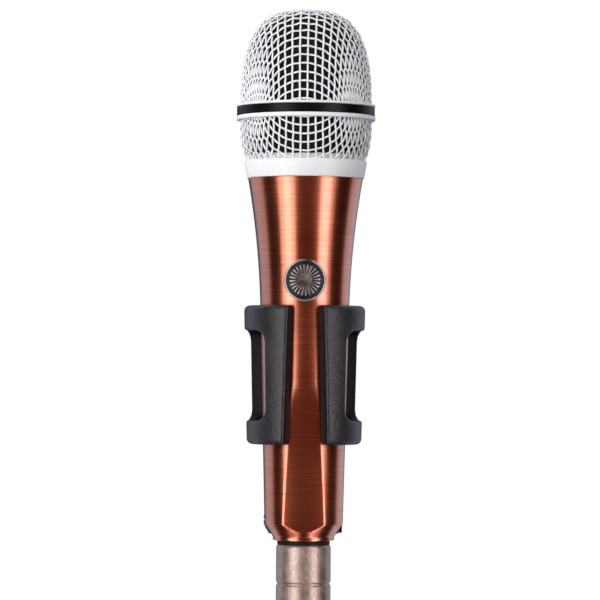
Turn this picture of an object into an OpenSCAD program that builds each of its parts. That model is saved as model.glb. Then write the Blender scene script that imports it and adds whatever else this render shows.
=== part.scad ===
// Handheld dynamic vocal microphone in a tapered stand clip, with a cable connector plugged in.
// Millimetres. The origin is the mouth of the clip's stand thread, +Z runs up along the microphone
// and +Y points out of the thread, so the microphone's front faces -Y.

/* [Handle] */
// Length of the handle from its lower rim to the collar
handle_len = 125; // [115:1:135]
// Radius of the handle where it meets the collar
handle_top_r = 19.9; // [19.2:0.1:20.2]
// Height at which the taper turns into the flare
flare_start = 80; // [72:1:90]
// Radius at the start of the flare
flare_r = 15.4; // [15:0.1:16]
// Radius at the foot of the taper, above the bevel
foot_r = 13.55; // [13.2:0.05:14]
// Height of the bevelled foot
bevel_h = 5.6; // [4:0.1:8]
// Height of the straight land under the bevel
land_h = 1.2; // [0.6:0.1:2]
// Radius of the lower rim
rim_r = 10.6; // [10.3:0.1:11.2]
// Number of flats around the foot
flat_count = 3; // [1:1:3]
// Height at which the flats run out
flat_top = 61; // [45:1:75]
// Depth of the flats at the top of the bevel
flat_depth = 2; // [0.8:0.1:2.2]
// Thinnest wall beside the flats
handle_wall = 1.6; // [1.2:0.1:1.9]
// Height of the neck that carries the collar
neck_h = 5.6; // [4:0.1:5.6]
// Radius of the neck
neck_r = 18; // [17.4:0.1:18.4]
// Wall of the neck
neck_wall = 2.4; // [1.8:0.1:2.6]

/* [Badge] */
// Radius of the plain plaque on the front
badge_r = 7.3; // [5:0.1:8]
// Height of the plaque's centre
badge_z = 89.5; // [89:0.5:105]
// How far the plaque's field stands off the handle
badge_t = 0.7; // [0.4:0.1:1.2]
// Width of the plaque's raised rim
badge_rim_w = 0.8; // [0.5:0.1:1.5]
// Height of the plaque's raised rim
badge_rim_h = 0.4; // [0.2:0.1:0.8]

/* [Head grille] */
// Height of the collar
collar_h = 6; // [6:0.1:8]
// Outer radius of the collar at its foot
collar_foot_r = 20.3; // [20.1:0.1:20.8]
// Outer radius of the collar at its top
collar_top_r = 21.3; // [21:0.1:22]
// Height of the lower screen
lower_h = 14.1; // [11:0.1:17]
// Height of the ring
ring_h = 5.5; // [4.5:0.1:8]
// Radius of the ring's lips
ring_r = 24.1; // [23.8:0.1:25]
// Inner radius of the ring
ring_bore_r = 21.55; // [21.5:0.05:21.7]
// Height of the ring's upper lip
upper_lip_h = 0.9; // [0.6:0.1:1.5]
// Height of the ring's lower lip
lower_lip_h = 1.5; // [0.8:0.1:2]
// Thickness of the dark band in the ring's groove
band_t = 0.8; // [0.5:0.1:1.2]
// How far the band sits below the lips
band_sink = 0.2; // [0.1:0.05:0.5]
// Height of the upper screen from the ring to its crown
dome_h = 32.9; // [28:0.1:38]
// Outer radius of the upper screen at the ring
upper_r = 22.95; // [22.9:0.05:23.2]
// Outer radius of the lower screen at the ring
lower_r = 23.1; // [22.9:0.05:23.3]
// Depth of the bowl that the lower screen is cut from
bowl_h = 23.4; // [22:0.1:26]
// Power of the screens' curve towards the side, where 2 is an ellipse
side_power = 3.3; // [2.5:0.1:4]
// Power of the screens' curve towards the crown
crown_power = 2.5; // [2.2:0.1:3]
// Wire spacing of the screens
mesh_pitch = 3.5; // [3.3:0.1:4.5]
// Thickness of the screens across the weave
mesh_t = 1.2; // [0.9:0.1:1.4]
// Width of a strand
strand_w = 0.95; // [0.7:0.05:1.3]
// Thickness of the foam liner
foam_t = 3; // [2:0.1:4]
// Space between the screens and the foam
foam_gap = 0.5; // [0.4:0.05:0.8]

/* [Capsule] */
// Radius of the capsule's tube
capsule_r = 11.5; // [11:0.1:12]
// Radius of the capsule's flange
flange_r = 14.5; // [14:0.1:15]
// Height of the flange
flange_h = 4; // [3:0.1:5]
// Wall of the capsule's tube
capsule_wall = 1.4; // [1:0.1:1.5]
// Length of the capsule below its flange
chamber_len = 32; // [26:1:36]
// Height of the flange's underside above the handle
flange_lift = 11; // [8:0.5:14]
// Height of the shock mount
mount_h = 10; // [8:0.5:11]
// Height of the rib that the shock mount grips
rib_h = 2; // [1.5:0.1:3]
// How far that rib stands out
rib_out = 0.7; // [0.5:0.1:0.9]
// Height of the steel pot
yoke_h = 8; // [7:0.1:9]
// Floor of the steel pot
yoke_floor = 2.2; // [1.5:0.1:3]
// Wall of the steel pot
yoke_wall = 2; // [1.6:0.1:2.2]
// Thickness of the magnet
magnet_h = 3.4; // [2.5:0.1:4]
// Radius of the magnet
magnet_r = 7; // [6.5:0.1:7.1]
// Width of the magnet's air gap
air_gap = 1; // [0.9:0.05:1.3]
// Thickness of the voice coil
coil_t = 0.4; // [0.3:0.05:0.6]
// How far the voice coil dips into the gap
coil_dip = 3.4; // [2:0.1:3.6]
// Thickness of the diaphragm
film_t = 0.3; // [0.2:0.05:0.5]
// Rise of the diaphragm's dome
film_rise = 1.6; // [1:0.1:2.2]
// Height of the perforated cap
cap_h = 4.4; // [3.8:0.1:5]
// Thickness of the cap's plate
cap_plate = 1.2; // [0.8:0.1:1.6]
// Radius of the cap's holes
cap_hole_r = 1.3; // [0.8:0.1:1.4]

/* [Inside the handle] */
// Radius of the transformer's can
can_r = 9; // [8:0.1:9.5]
// Length of the transformer's can
can_len = 26; // [20:0.5:32]
// Height of the can's underside
can_z = 48; // [40:0.5:55]
// Length of the rubber sleeve
sleeve_len = 16; // [10:0.5:20]
// Thickness of the terminal board
board_t = 1.2; // [0.8:0.1:2]
// Radius of the leads
lead_r = 0.5; // [0.4:0.05:0.7]
// Distance of the capsule's leads from the axis
lead_x = 4; // [3:0.1:6]

/* [Connector socket] */
// Radius of the socket's bore
socket_r = 8.2; // [8.15:0.05:8.4]
// Depth of the socket down to the pin carrier's back
socket_len = 22.5; // [20:0.5:26]
// Thickness of the pin carrier
carrier_t = 8; // [6:0.5:9]
// Thickness of the stop behind the pin carrier
stop_t = 1.5; // [1:0.1:2.5]
// Radius of the opening in that stop
stop_r = 7.2; // [6.5:0.1:7.5]
// Depth of the ring groove for the latch
latch_groove = 0.8; // [0.5:0.1:1]
// Radius of a contact pin
pin_r = 1.19; // [1.1:0.01:1.25]
// Radius of the circle of pins
pin_circle = 4; // [3.9:0.05:4.2]
// Height of the pins' tips above the rim
pin_tip = 2; // [1:0.1:4]
// Length of the solder ends behind the pin carrier
pin_tail = 4; // [3:0.1:5]
// Radius of the set screw
set_screw_r = 1.5; // [1:0.1:1.5]

/* [Cable connector] */
// Space between the handle's rim and the seal
plug_gap = 0.4; // [0.3:0.05:0.8]
// Thickness of the seal
seal_t = 1.4; // [1:0.1:2]
// Outer radius of the seal
seal_r = 9; // [8.8:0.1:9.3]
// Radius of the shell
shell_r = 9.45; // [9.35:0.05:10]
// Wall of the shell
shell_wall = 1.15; // [1:0.05:1.2]
// Length of the shell
shell_len = 32; // [30:0.5:38]
// Distance of the ring groove from the shell's top
shell_groove_z = 13.2; // [12:0.1:16]
// Depth of that groove
shell_groove_d = 0.4; // [0.2:0.05:0.5]
// Radius of the nose that enters the socket
nose_r = 7.9; // [7.85:0.05:7.95]
// Length of the contact carrier inside the shell
carrier_len = 20.2; // [19:0.1:21]
// Wall of a contact tube
contact_wall = 0.65; // [0.4:0.05:0.7]
// Width of the latch
latch_w = 4.6; // [3.6:0.1:5]
// Thickness of the latch
latch_t = 1; // [0.8:0.05:1.1]
// How far the latch's tab stands out of the shell
tab_out = 0.85; // [0.5:0.05:1.2]
// Largest swing of the latch
latch_swing = 4; // [3:0.5:4]
// Radius of the latch's pivot pin
latch_pin_r = 0.75; // [0.6:0.05:0.8]
// Length of the cable clamp
chuck_len = 14; // [12:0.5:16]
// Length of the bushing below the shell
bushing_len = 24; // [20:0.5:32]
// Radius of the cable's way through the bushing
cable_r = 3.5; // [2.5:0.1:4]
// Radius of the bushing at its lower end
bushing_end_r = 6.4; // [6:0.1:7.5]

/* [Clip] */
// Height of the clip's lower end above the handle's rim
clip_z = 32.5; // [28:0.5:34]
// Length of the clip's sleeve
clip_len = 49; // [46:0.5:49]
// Wall of the sleeve
clip_wall = 5.3; // [4.5:0.1:6]
// Play between the sleeve and the handle
clip_play = 0.3; // [0.25:0.05:0.4]
// Rounding of the sleeve's outer edges
clip_round = 1.6; // [0.8:0.1:2.2]
// Width of the front gap at the sleeve's inner wall
gap_in = 9.2; // [8:0.1:11]
// Width of the front gap at the sleeve's outer wall, halfway up
gap_out = 14; // [12.5:0.1:15]
// How much wider the gap is at its lower end than at its top
gap_spread = 2; // [0:0.1:3]
// Width of a side window
window_w = 26; // [22:0.5:27]
// Height of a side window
window_h = 31; // [24:0.5:33]
// Corner radius of a side window
window_round = 4; // [2:0.1:6]
// Turn of the side windows towards the front
window_turn = 9; // [5:0.5:12]

/* [Swivel] */
// Distance of the hinge behind the microphone's axis
hinge_back = 26; // [25.5:0.5:30]
// Height of the hinge above the handle's rim
hinge_up = 5.8; // [4:0.1:8]
// Overall width of the hinge
hinge_w = 25.2; // [24:0.1:27]
// Radius of the ears and of the tongue
ear_r = 5; // [4.8:0.1:5.5]
// Thickness of an ear
ear_t = 4.2; // [3.8:0.1:5]
// Height of the ears' upper end above the clip's lower end
ear_rise = 27; // [22:0.5:32]
// Thickness of the web between the ears
web_t = 3; // [2:0.1:4]
// Thickness of a friction washer
washer_t = 0.8; // [0.5:0.1:1.2]
// Radius of the hinge screw
pivot_r = 2.5; // [2:0.1:2.6]
// Radius of the screw's head
head_r = 4.2; // [3.6:0.1:4.5]
// Height of the screw's head
head_h = 1.6; // [1.2:0.1:2.2]
// Nut size across its flats
nut_af = 8; // [7:0.5:8]
// Thickness of the nut
nut_h = 3; // [2.5:0.1:4]
// Depth of the nut's seat in the ear
nut_seat = 2; // [1.5:0.1:2.2]
// Radius of the base
base_r = 12; // [11:0.1:12.5]
// Length of the base's round body
base_len = 27; // [24:0.5:34]
// Distance from the hinge to the base's round body
base_gap = 9; // [8.5:0.1:12]
// Radius of the stand thread's bore
thread_r = 7.45; // [7.4:0.01:7.5]
// Length of the stand thread
thread_len = 15; // [12:0.5:18]
// Wall of the brass insert
insert_wall = 1.95; // [1.5:0.05:2.5]

/* [Fits] */
// Clearance of a piece set into another
fit = 0.05; // [0.03:0.01:0.06]
// Radial clearance of a turning pin
turn_fit = 0.08; // [0.04:0.01:0.1]
// Clearance of the collar on the neck
neck_fit = 0.25; // [0.2:0.05:0.3]
// Clearance around the latch
latch_fit = 0.3; // [0.2:0.05:0.35]

/* [Hidden] */
$fn = 96;
copper = "#b4683f";
white_paint = "#e8e8ea";
black_plastic = "#2c2c30";
nickel = "#b5a79d";
steel = "#9a9ca0";
brass = "#b99b50";
gold = "#c9a54a";

// Small details of the handle and the capsule: how far the shock mount stands above the handle, the
// space under the capsule, from pole plate to diaphragm, the cap's rim, the terminal board's margin
// and how deep the set screw sits
mount_proud = 1;
well_space = 4;
film_lift = 1;
cap_wall = 1;
board_inset = 0.4;
screw_sink = 0.5;

// Small details of the connector: latch groove, clearances round the contacts, the latch and its
// hook, the cable clamp and the bushing
groove_low = 2.6;
groove_high = 6.6;
nose_clear = 0.9;
contact_fit = 0.06;
contact_sink = 0.6;
contact_z = -8;
pin_entry = 0.25;
latch_pivot_z = -11.8;
boss_wall = 0.6;
boss_clear = 0.1;
hook_play = 0.5;
hook_clear = 0.1;
hook_land = 1;
tab_z = [-9.6, -4.2];
chuck_slot = 1;
chuck_root = 4;
chuck_ease = 0.2;
bushing_wall = 1;
bushing_inset = 0.3;
bushing_groove_w = 1;
bushing_groove_d = 0.7;

// Small details of the clip: how far the web runs below the sleeve, the screw's slot, the washers'
// margin and the base's edge and shoulder
web_drop = 8;
screw_slot = 1;
washer_inset = 0.2;
base_edge = 0.8;
base_shoulder = 3;

// Search angles for the next crossing of a net, and the share of a cell that snaps to an edge
axis_search = [-17, 126];
crossing_search = [-92, 69];
edge_snap = 0.12;

// Places of the microphone and of the hinge in the part's frame
hinge_y = -(base_len + base_gap);
mic_y = hinge_y - hinge_back;
mic_z = -hinge_up;

// Flare of the handle: an arc that leaves the taper smoothly and ends at the collar
taper_slope = (flare_r - foot_r) / (flare_start - bevel_h);
taper_angle = atan(taper_slope);
flare_chord = [handle_top_r - flare_r, handle_len - flare_start];
flare_out = [cos(taper_angle), -sin(taper_angle)];
flare_arc_r = flare_chord * flare_chord / (2 * flare_chord * flare_out);
flare_centre = [flare_r, flare_start] + flare_arc_r * flare_out;
flare_sweep = 2 * asin(norm(flare_chord) / (2 * flare_arc_r));
flare_steps = 16;

// Flats, socket and hollow of the handle
flat_slope = (handle_r(flat_top) - foot_r + flat_depth) / (flat_top - bevel_h);
stop_z = socket_len + stop_t;
set_screw_z = socket_len - carrier_t / 2;
cavity_r = flat_reach(stop_z) - handle_wall;
capsule_seat_z = handle_len - mount_h + mount_proud;
capsule_bore_r = neck_r - neck_wall;
well_r = capsule_r + rib_out;
flange_z = handle_len + flange_lift;
chamber_z = flange_z - chamber_len;
well_z = chamber_z - well_space;

// Levels of the head
lower_z = handle_len + collar_h;
ring_z = lower_z + lower_h;
dome_z = ring_z + ring_h;
band_z = ring_z + lower_lip_h + fit;
band_h = ring_h - lower_lip_h - upper_lip_h - 2 * fit;
band_r = ring_r - band_sink;

// Levels of the capsule
flange_top = flange_z + flange_h;
yoke_r = capsule_r - capsule_wall - fit;
yoke_z = flange_top - yoke_h - film_lift;
plate_top = yoke_z + yoke_h;
gap_outer_r = yoke_r - yoke_wall;
plate_r = gap_outer_r - air_gap;
coil_r = (gap_outer_r + plate_r + coil_t) / 2;
film_r = flange_r - cap_wall;

// Levels of the connector
seal_z = -plug_gap - seal_t;
shell_bore_r = shell_r - shell_wall;
nose_top = socket_len - carrier_t - nose_clear;
carrier_z = seal_z - carrier_len;
contact_r = pin_r + contact_fit + contact_wall;
contact_top = nose_top - contact_sink;
pin_angles = [45, 135, 270];
latch_face = nose_r - latch_fit;
latch_back = latch_face - latch_t;
latch_boss_r = latch_pin_r + boss_wall;
latch_pivot_y = sqrt(pow(shell_bore_r - boss_clear, 2) - pow(latch_w / 2, 2)) - latch_boss_r;
hook_z = [groove_low + hook_play, groove_high - hook_play];
hook_out = socket_r - hook_clear;
latch_slot_floor = latch_back - (hook_z[1] - latch_pivot_z) * sin(latch_swing) - latch_fit;
shell_end = seal_z - shell_len;
chuck_r = shell_bore_r - bushing_wall;
chuck_z = carrier_z - chuck_len;
bushing_z = shell_end - bushing_len;

// Clip and hinge
clip_top = clip_z + clip_len;
clip_mid = clip_z + clip_len / 2;
clip_in_low = handle_r(clip_z) + clip_play;
clip_in_top = handle_r(clip_top) + clip_play;
window_z = clip_mid;
ear_in = hinge_w / 2 - ear_t;
tongue_w = 2 * (ear_in - washer_t - fit);
hinge_point = [hinge_back, hinge_up];
insert_r = thread_r + insert_wall;

function unit(v) = v / norm(v);
function arc(centre, r, from, to, steps) =
    [for (k = [0:steps]) let(a = from + (to - from) * k / steps) centre + r * [cos(a), sin(a)]];

// Radius of the handle at a height, and distance of a flat from the axis
function handle_r(z) = z <= flare_start
    ? flare_r - (flare_start - z) * taper_slope
    : flare_centre.x - sqrt(pow(flare_arc_r, 2) - pow(z - flare_centre.y, 2));
function flat_reach(z) = handle_r(flat_top) - (flat_top - z) * flat_slope;

// Point where a line from p touches a circle, on the side that the sign picks
function touch(centre, r, p, side) = let(
    d = p - centre,
    spread = acos(r / norm(d)),
    a = atan2(d.y, d.x) + side * spread)
    centre + r * [cos(a), sin(a)];

// Curve of a screen: zero on its surface and negative inside
function screen_level(p, r, h) =
    pow(norm([p.x, p.y]) / r, side_power) + pow(max(p.z, 0) / h, crown_power) - 1;
function screen_r(z, r, h) = r * pow(1 - pow(max(z, 0) / h, crown_power), 1 / side_power);
function screen_z(x, r, h) = h * pow(1 - pow(x / r, side_power), 1 / crown_power);
function screen_normal(p, r, h) = let(
    s = norm([p.x, p.y]),
    side = s == 0 ? 0 : side_power * pow(s / r, side_power - 1) / r / s,
    rise = crown_power * pow(max(p.z, 0) / h, crown_power - 1) / h)
    unit([p.x * side, p.y * side, rise]);

// Value between low and high where f turns from negative to positive
function root(f, low, high, n = 20) = let(mid = (low + high) / 2)
    n == 0 ? mid : f(mid) < 0 ? root(f, mid, high, n - 1) : root(f, low, mid, n - 1);

// A square net draped over a screen: every cell keeps its side, and only its angles change.
// The two wires through the crown come first, then each crossing from its two neighbours.
function next_on_axis(p, r, h) = let(
    at = function(a) p + mesh_pitch * [cos(a), 0, -sin(a)],
    a = root(function(a) -screen_level(at(a), r, h), axis_search[0], axis_search[1]))
    at(a);
function next_crossing(a, b, c, r, h) = let(
    along = unit(b - a),
    mid = (a + b) / 2,
    reach = sqrt(pow(mesh_pitch, 2) - pow(norm(b - a) / 2, 2)),
    ahead = unit(mid - c - along * ((mid - c) * along)),
    normal = cross(along, ahead),
    up = normal * [mid.x, mid.y, max(mid.z, 0)] < 0 ? -normal : normal,
    at = function(t) mid + reach * (cos(t) * ahead + sin(t) * up),
    t = root(function(t) screen_level(at(t), r, h), crossing_search[0], crossing_search[1]))
    at(t);
function net_axis(r, h) = [for (p = [0, 0, h]; p.z > -mesh_pitch; p = next_on_axis(p, r, h)) p];
function net_row(prev, first, r, h) = [
    for (i = 0, p = first; i < len(prev);
         i = i + 1, p = i < len(prev) ? next_crossing(p, prev[i], prev[i - 1], r, h) : p) p
];
function net_rows(prev, j, axis, r, h) = j == len(axis) ? [] :
    let(row = net_row(prev, [0, axis[j].x, axis[j].z], r, h))
    concat([row], net_rows(row, j + 1, axis, r, h));
function settle(p, level, r, h) = abs(p.z - level) > edge_snap * mesh_pitch ? p :
    let(s = screen_r(level, r, h) / norm([p.x, p.y])) [p.x * s, p.y * s, level];

// Part of a cell above or below a level, with the cut points worked out from the kept side
function cut_point(kept, lost, level) =
    let(p = kept + (lost - kept) * (level - kept.z) / (lost.z - kept.z)) [p.x, p.y, level];
function cut_cell(cell, level, side) = [
    for (k = [0:len(cell) - 1])
    let(a = cell[k], b = cell[(k + 1) % len(cell)],
        a_in = side * (a.z - level) >= 0, b_in = side * (b.z - level) >= 0)
    each concat(
        a_in ? [a] : [],
        a_in == b_in || a.z == level || b.z == level ? [] :
            [a_in ? cut_point(a, b, level) : cut_point(b, a, level)])
];

// Strands of a draped net between its foot and a height: each cell is a frame round a hole,
// ridged outside and inside along the wires
module draped_net(r, h, top) {
    axis = net_axis(r, h);
    rows = concat([axis], net_rows(axis, 1, axis, r, h));
    settled = [for (row = rows) [for (p = row) settle(settle(p, 0, r, h), top, r, h)]];
    last = len(axis) - 1;
    cross_at = function(i, j) let(p = settled[abs(j)][abs(i)]) [sign(i) * p.x, sign(j) * p.y, p.z];
    cells = [
        for (j = [-last:last - 1], i = [-last:last - 1])
        let(whole = [cross_at(i, j), cross_at(i + 1, j), cross_at(i + 1, j + 1), cross_at(i, j + 1)],
            low = cut_cell(whole, 0, 1),
            cell = len(low) < 3 ? [] : cut_cell(low, top, -1))
        if (len(cell) >= 3) cell
    ];
    starts = [for (k = 0, s = 0; k < len(cells); s = s + 3 * len(cells[k]), k = k + 1) s];
    open_share = 1 - strand_w / mesh_pitch;
    on_edge = function(p) p.z == 0 || p.z == top;
    lift = function(p) mesh_t / 2 * (on_edge(p) ? unit([p.x, p.y, 0]) : screen_normal(p, r, h));
    points = [
        for (cell = cells) let(n = len(cell), middle = [for (k = [0:n - 1]) 1] * cell / n)
        each concat(
            [for (p = cell) p + lift(p)],
            [for (p = cell) p - lift(p)],
            [for (p = cell) middle + open_share * (p - middle)])
    ];
    faces = [
        for (c = [0:len(cells) - 1]) let(n = len(cells[c]), s = starts[c])
        for (k = [0:n - 1])
        let(m = (k + 1) % n, a = cells[c][k], b = cells[c][m],
            out_a = s + k, out_b = s + m, in_a = s + n + k, in_b = s + n + m,
            hole_a = s + 2 * n + k, hole_b = s + 2 * n + m)
        each concat(
            [[hole_b, out_b, out_a], [hole_a, hole_b, out_a], [hole_a, in_a, in_b], [hole_b, hole_a, in_b]],
            on_edge(a) && a.z == b.z ? [[in_a, out_a, out_b], [in_b, in_a, out_b]] : [])
    ];
    polyhedron(points, faces, convexity = 10);
}

// Outline of the handle from its rim to the collar, moved outwards by a distance
function handle_side(out) = concat(
    [[rim_r + out, 0], [rim_r + out, land_h], [foot_r + out, bevel_h]],
    let(from = 180 - taper_angle)
    [for (p = arc(flare_centre, flare_arc_r, from, from - flare_sweep, flare_steps)) p + [out, 0]]);
module handle_skin(out) {
    rotate_extrude() polygon(concat([[0, 0]], handle_side(out), [[0, handle_len]]));
}
module at_mic() { translate([0, mic_y, mic_z]) children(); }
module tube(r_out, r_in, z, h) {
    translate([0, 0, z]) difference() {
        cylinder(r = r_out, h = h);
        translate([0, 0, -1]) cylinder(r = r_in, h = h + 2);
    }
}
module disc(r, z, h) { translate([0, 0, z]) cylinder(r = r, h = h); }
module rounded_square(w, h, r) {
    square([w - 2 * r, h], center = true);
    square([w, h - 2 * r], center = true);
    for (x = [-1, 1], y = [-1, 1]) translate([x * (w / 2 - r), y * (h / 2 - r)]) circle(r);
}
// A solid drawn in the plane of the microphone's side view, spread evenly across its width
module side_plate(w) { rotate([90, 0, 90]) linear_extrude(w, center = true) children(); }
module pins_at() { for (a = pin_angles) rotate([0, 0, a]) translate([pin_circle, 0, 0]) children(); }

module upper_mesh() color(white_paint) at_mic() translate([0, 0, dome_z])
    draped_net(upper_r - mesh_t / 2, dome_h - mesh_t / 2, 2 * dome_h);

module lower_mesh() color(white_paint) at_mic() translate([0, 0, ring_z]) mirror([0, 0, 1])
    draped_net(lower_r - mesh_t / 2, bowl_h - mesh_t / 2, lower_h);

module grille_ring() color(white_paint) at_mic() {
    tube(band_r - band_t - fit, ring_bore_r, ring_z, ring_h);
    tube(ring_r, ring_bore_r, ring_z, lower_lip_h);
    tube(ring_r, ring_bore_r, dome_z - upper_lip_h, upper_lip_h);
}

module name_band() color("#17171a") at_mic() tube(band_r, band_r - band_t, band_z, band_h);

module grille_collar() color(white_paint) at_mic() translate([0, 0, handle_len]) difference() {
    cylinder(r1 = collar_foot_r, r2 = collar_top_r, h = collar_h);
    translate([0, 0, -1]) cylinder(r = neck_r + neck_fit, h = collar_h + 2);
}

// Foam that lines both screens, with its foot on the collar
module foam_liner() {
    steps = 14;
    side = function(inset) concat(
        [for (k = [0:steps / 2]) let(z = lower_h * (1 - 2 * k / steps))
            [screen_r(z, lower_r - mesh_t - inset, bowl_h - mesh_t - inset), ring_z - z]],
        [for (k = [0:steps]) let(x = (upper_r - mesh_t - inset) * cos(90 * k / steps))
            [x, dome_z + screen_z(x, upper_r - mesh_t - inset, dome_h - mesh_t - inset)]]);
    inner = side(foam_gap + foam_t);
    color("#1d1d20") at_mic() rotate_extrude()
        polygon(concat(side(foam_gap), [for (k = [len(inner) - 1:-1:0]) inner[k]]));
}

module shock_mount() color("#222226") at_mic() difference() {
    tube(capsule_bore_r - fit, capsule_r + fit, capsule_seat_z, mount_h);
    disc(capsule_r + rib_out + fit, capsule_seat_z + (mount_h - rib_h) / 2 - fit, rib_h + 2 * fit);
}

module capsule_body() color("#3c3c42") at_mic() difference() {
    union() {
        disc(capsule_r, chamber_z, chamber_len);
        disc(capsule_r + rib_out, capsule_seat_z + (mount_h - rib_h) / 2, rib_h);
        disc(flange_r, flange_z, flange_h);
    }
    disc(capsule_r - capsule_wall, chamber_z + capsule_wall, yoke_z - chamber_z - 2 * capsule_wall);
    disc(yoke_r + fit, yoke_z, flange_h + yoke_h);
}

module yoke() color(steel) at_mic() difference() {
    disc(yoke_r, yoke_z, yoke_h);
    disc(gap_outer_r, yoke_z + yoke_floor, yoke_h);
}

module magnet() color("#74767c") at_mic() disc(magnet_r, yoke_z + yoke_floor, magnet_h);

module pole_plate() color(steel) at_mic()
    disc(plate_r, yoke_z + yoke_floor + magnet_h, yoke_h - yoke_floor - magnet_h);

module voice_coil() color("#c57b45") at_mic()
    tube(coil_r, coil_r - coil_t, plate_top - coil_dip, flange_top - plate_top + coil_dip);

// Diaphragm: a dome over the coil and a flat surround clamped at its rim
module diaphragm() {
    dome_r = (pow(coil_r, 2) + pow(film_rise, 2)) / (2 * film_rise);
    half = asin(coil_r / dome_r);
    centre = [0, film_rise - dome_r];
    color("#c9cbd0") at_mic() translate([0, 0, flange_top]) rotate_extrude() polygon(concat(
        arc(centre, dome_r, 90, 90 - half, 8), [[film_r, 0], [film_r, film_t]],
        arc(centre + [0, film_t], dome_r, 90 - half, 90, 8)));
}

module capsule_cap() color("#55565c") at_mic() translate([0, 0, flange_top]) difference() {
    cylinder(r = flange_r, h = cap_h);
    translate([0, 0, -1]) cylinder(r = film_r + fit, h = film_t + 1);
    cylinder(r = film_r - cap_wall, h = cap_h - cap_plate);
    cylinder(r = cap_hole_r, h = cap_h + 1);
    for (ring = [1, 2], k = [0:6 * ring - 1]) rotate([0, 0, 60 * k / ring])
        translate([ring * film_r / 3, 0, 0]) cylinder(r = cap_hole_r, h = cap_h + 1);
}

module handle() color(copper) at_mic() difference() {
    union() {
        handle_skin(0);
        disc(neck_r, handle_len - 1, neck_h + 1);
    }
    for (k = [0:flat_count - 1])
        rotate([0, 0, k * 360 / flat_count]) translate([0, -handle_r(flat_top), flat_top])
            rotate([atan(flat_slope), 0, 0]) translate([-foot_r, -foot_r, -2 * flat_top])
                cube([2 * foot_r, foot_r, 2 * flat_top]);
    disc(socket_r, -1, socket_len + 1);
    disc(socket_r + latch_groove, groove_low, groove_high - groove_low);
    disc(stop_r, socket_len - 1, stop_t + 2);
    disc(cavity_r, stop_z, well_z - stop_z + 1);
    disc(well_r, well_z, capsule_seat_z - well_z + 1);
    disc(capsule_bore_r, capsule_seat_z, handle_len);
    translate([0, 0, set_screw_z]) rotate([-90, 0, 0]) cylinder(r = set_screw_r + fit, h = 2 * foot_r);
}

module badge() color("#6b6a6c") at_mic() {
    place = [0, 0, badge_z];
    intersection() {
        translate(place) rotate([90, 0, 0]) cylinder(r = badge_r - badge_rim_w / 2, h = 2 * handle_top_r);
        difference() {
            handle_skin(badge_t);
            handle_skin(fit);
        }
    }
    intersection() {
        translate(place) rotate([90, 0, 0]) tube(badge_r, badge_r - badge_rim_w, 0, 2 * handle_top_r);
        difference() {
            handle_skin(badge_t + badge_rim_h);
            handle_skin(fit);
        }
    }
}

module transformer() color("#8d8f94") at_mic() disc(can_r, can_z, can_len);

module transformer_sleeve() color("#202024") at_mic()
    tube(cavity_r - fit, can_r + fit, can_z + (can_len - sleeve_len) / 2, sleeve_len);

module terminal_board() color("#2f5a3c") at_mic() disc(can_r - board_inset, can_z + can_len, board_t);

module capsule_leads() color("#a03030") at_mic() for (x = [-lead_x, lead_x])
    translate([x, 0, can_z + can_len + board_t])
        cylinder(r = lead_r, h = chamber_z - can_z - can_len - board_t);

module output_leads() color("#3050a0") at_mic() translate([0, 0, socket_len + pin_tail])
    pins_at() cylinder(r = lead_r, h = can_z - socket_len - pin_tail);

module socket_insert() color("#1c1c1f") at_mic() translate([0, 0, socket_len - carrier_t]) difference() {
    cylinder(r = socket_r - fit, h = carrier_t);
    translate([0, 0, -1]) pins_at() cylinder(r = pin_r + fit, h = carrier_t + 2);
}

module socket_pins() color(gold) at_mic() translate([0, 0, pin_tip]) pins_at() {
    translate([0, 0, pin_r]) cylinder(r = pin_r, h = socket_len + pin_tail - pin_tip - pin_r);
    translate([0, 0, pin_r]) sphere(r = pin_r);
}

module socket_screw() {
    from = socket_r;
    length = handle_r(set_screw_z) - from - screw_sink;
    color(steel) at_mic() translate([0, from, set_screw_z]) rotate([-90, 0, 0]) difference() {
        cylinder(r = set_screw_r, h = length);
        translate([0, 0, length / 2]) cylinder(r = set_screw_r / 2, h = length, $fn = 6);
    }
}

// Slot for the latch through the contact carrier, and the window for its tab in the shell
module latch_slot() {
    width = latch_w + 2 * latch_fit;
    translate([-width / 2, latch_slot_floor, latch_pivot_z - latch_boss_r - latch_fit])
        cube([width, shell_r, nose_top - latch_pivot_z + 2 * latch_boss_r]);
}
module latch_window() {
    width = latch_w + 2 * latch_fit;
    translate([-width / 2, 0, tab_z[0] - latch_fit])
        cube([width, shell_r + 1, tab_z[1] - tab_z[0] + 2 * latch_fit]);
}

module plug_shell() {
    edge = shell_wall / 2;
    groove_z = shell_len - shell_groove_z;
    color(nickel) at_mic() difference() {
        translate([0, 0, shell_end]) rotate_extrude() polygon([
            [shell_bore_r, 0], [shell_r, 0],
            [shell_r, groove_z - shell_groove_d], [shell_r - shell_groove_d, groove_z],
            [shell_r, groove_z + shell_groove_d],
            [shell_r, shell_len - edge], [shell_r - edge, shell_len], [shell_bore_r, shell_len]
        ]);
        latch_window();
    }
}

module plug_seal() color("#151517") at_mic() tube(seal_r, nose_r + fit, seal_z, seal_t);

module plug_insert() color("#1a1a1d") at_mic() difference() {
    union() {
        disc(shell_bore_r - fit, carrier_z, carrier_len);
        disc(nose_r, seal_z - 1, nose_top - seal_z + 1);
    }
    translate([0, 0, carrier_z - 1]) pins_at()
        cylinder(r = contact_r + fit, h = contact_top - carrier_z + 1);
    pins_at() cylinder(r = pin_r + pin_entry, h = nose_top + 1);
    latch_slot();
    translate([0, latch_pivot_y, latch_pivot_z]) rotate([0, 90, 0])
        cylinder(r = latch_pin_r + fit, h = 2 * shell_r, center = true);
}

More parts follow.
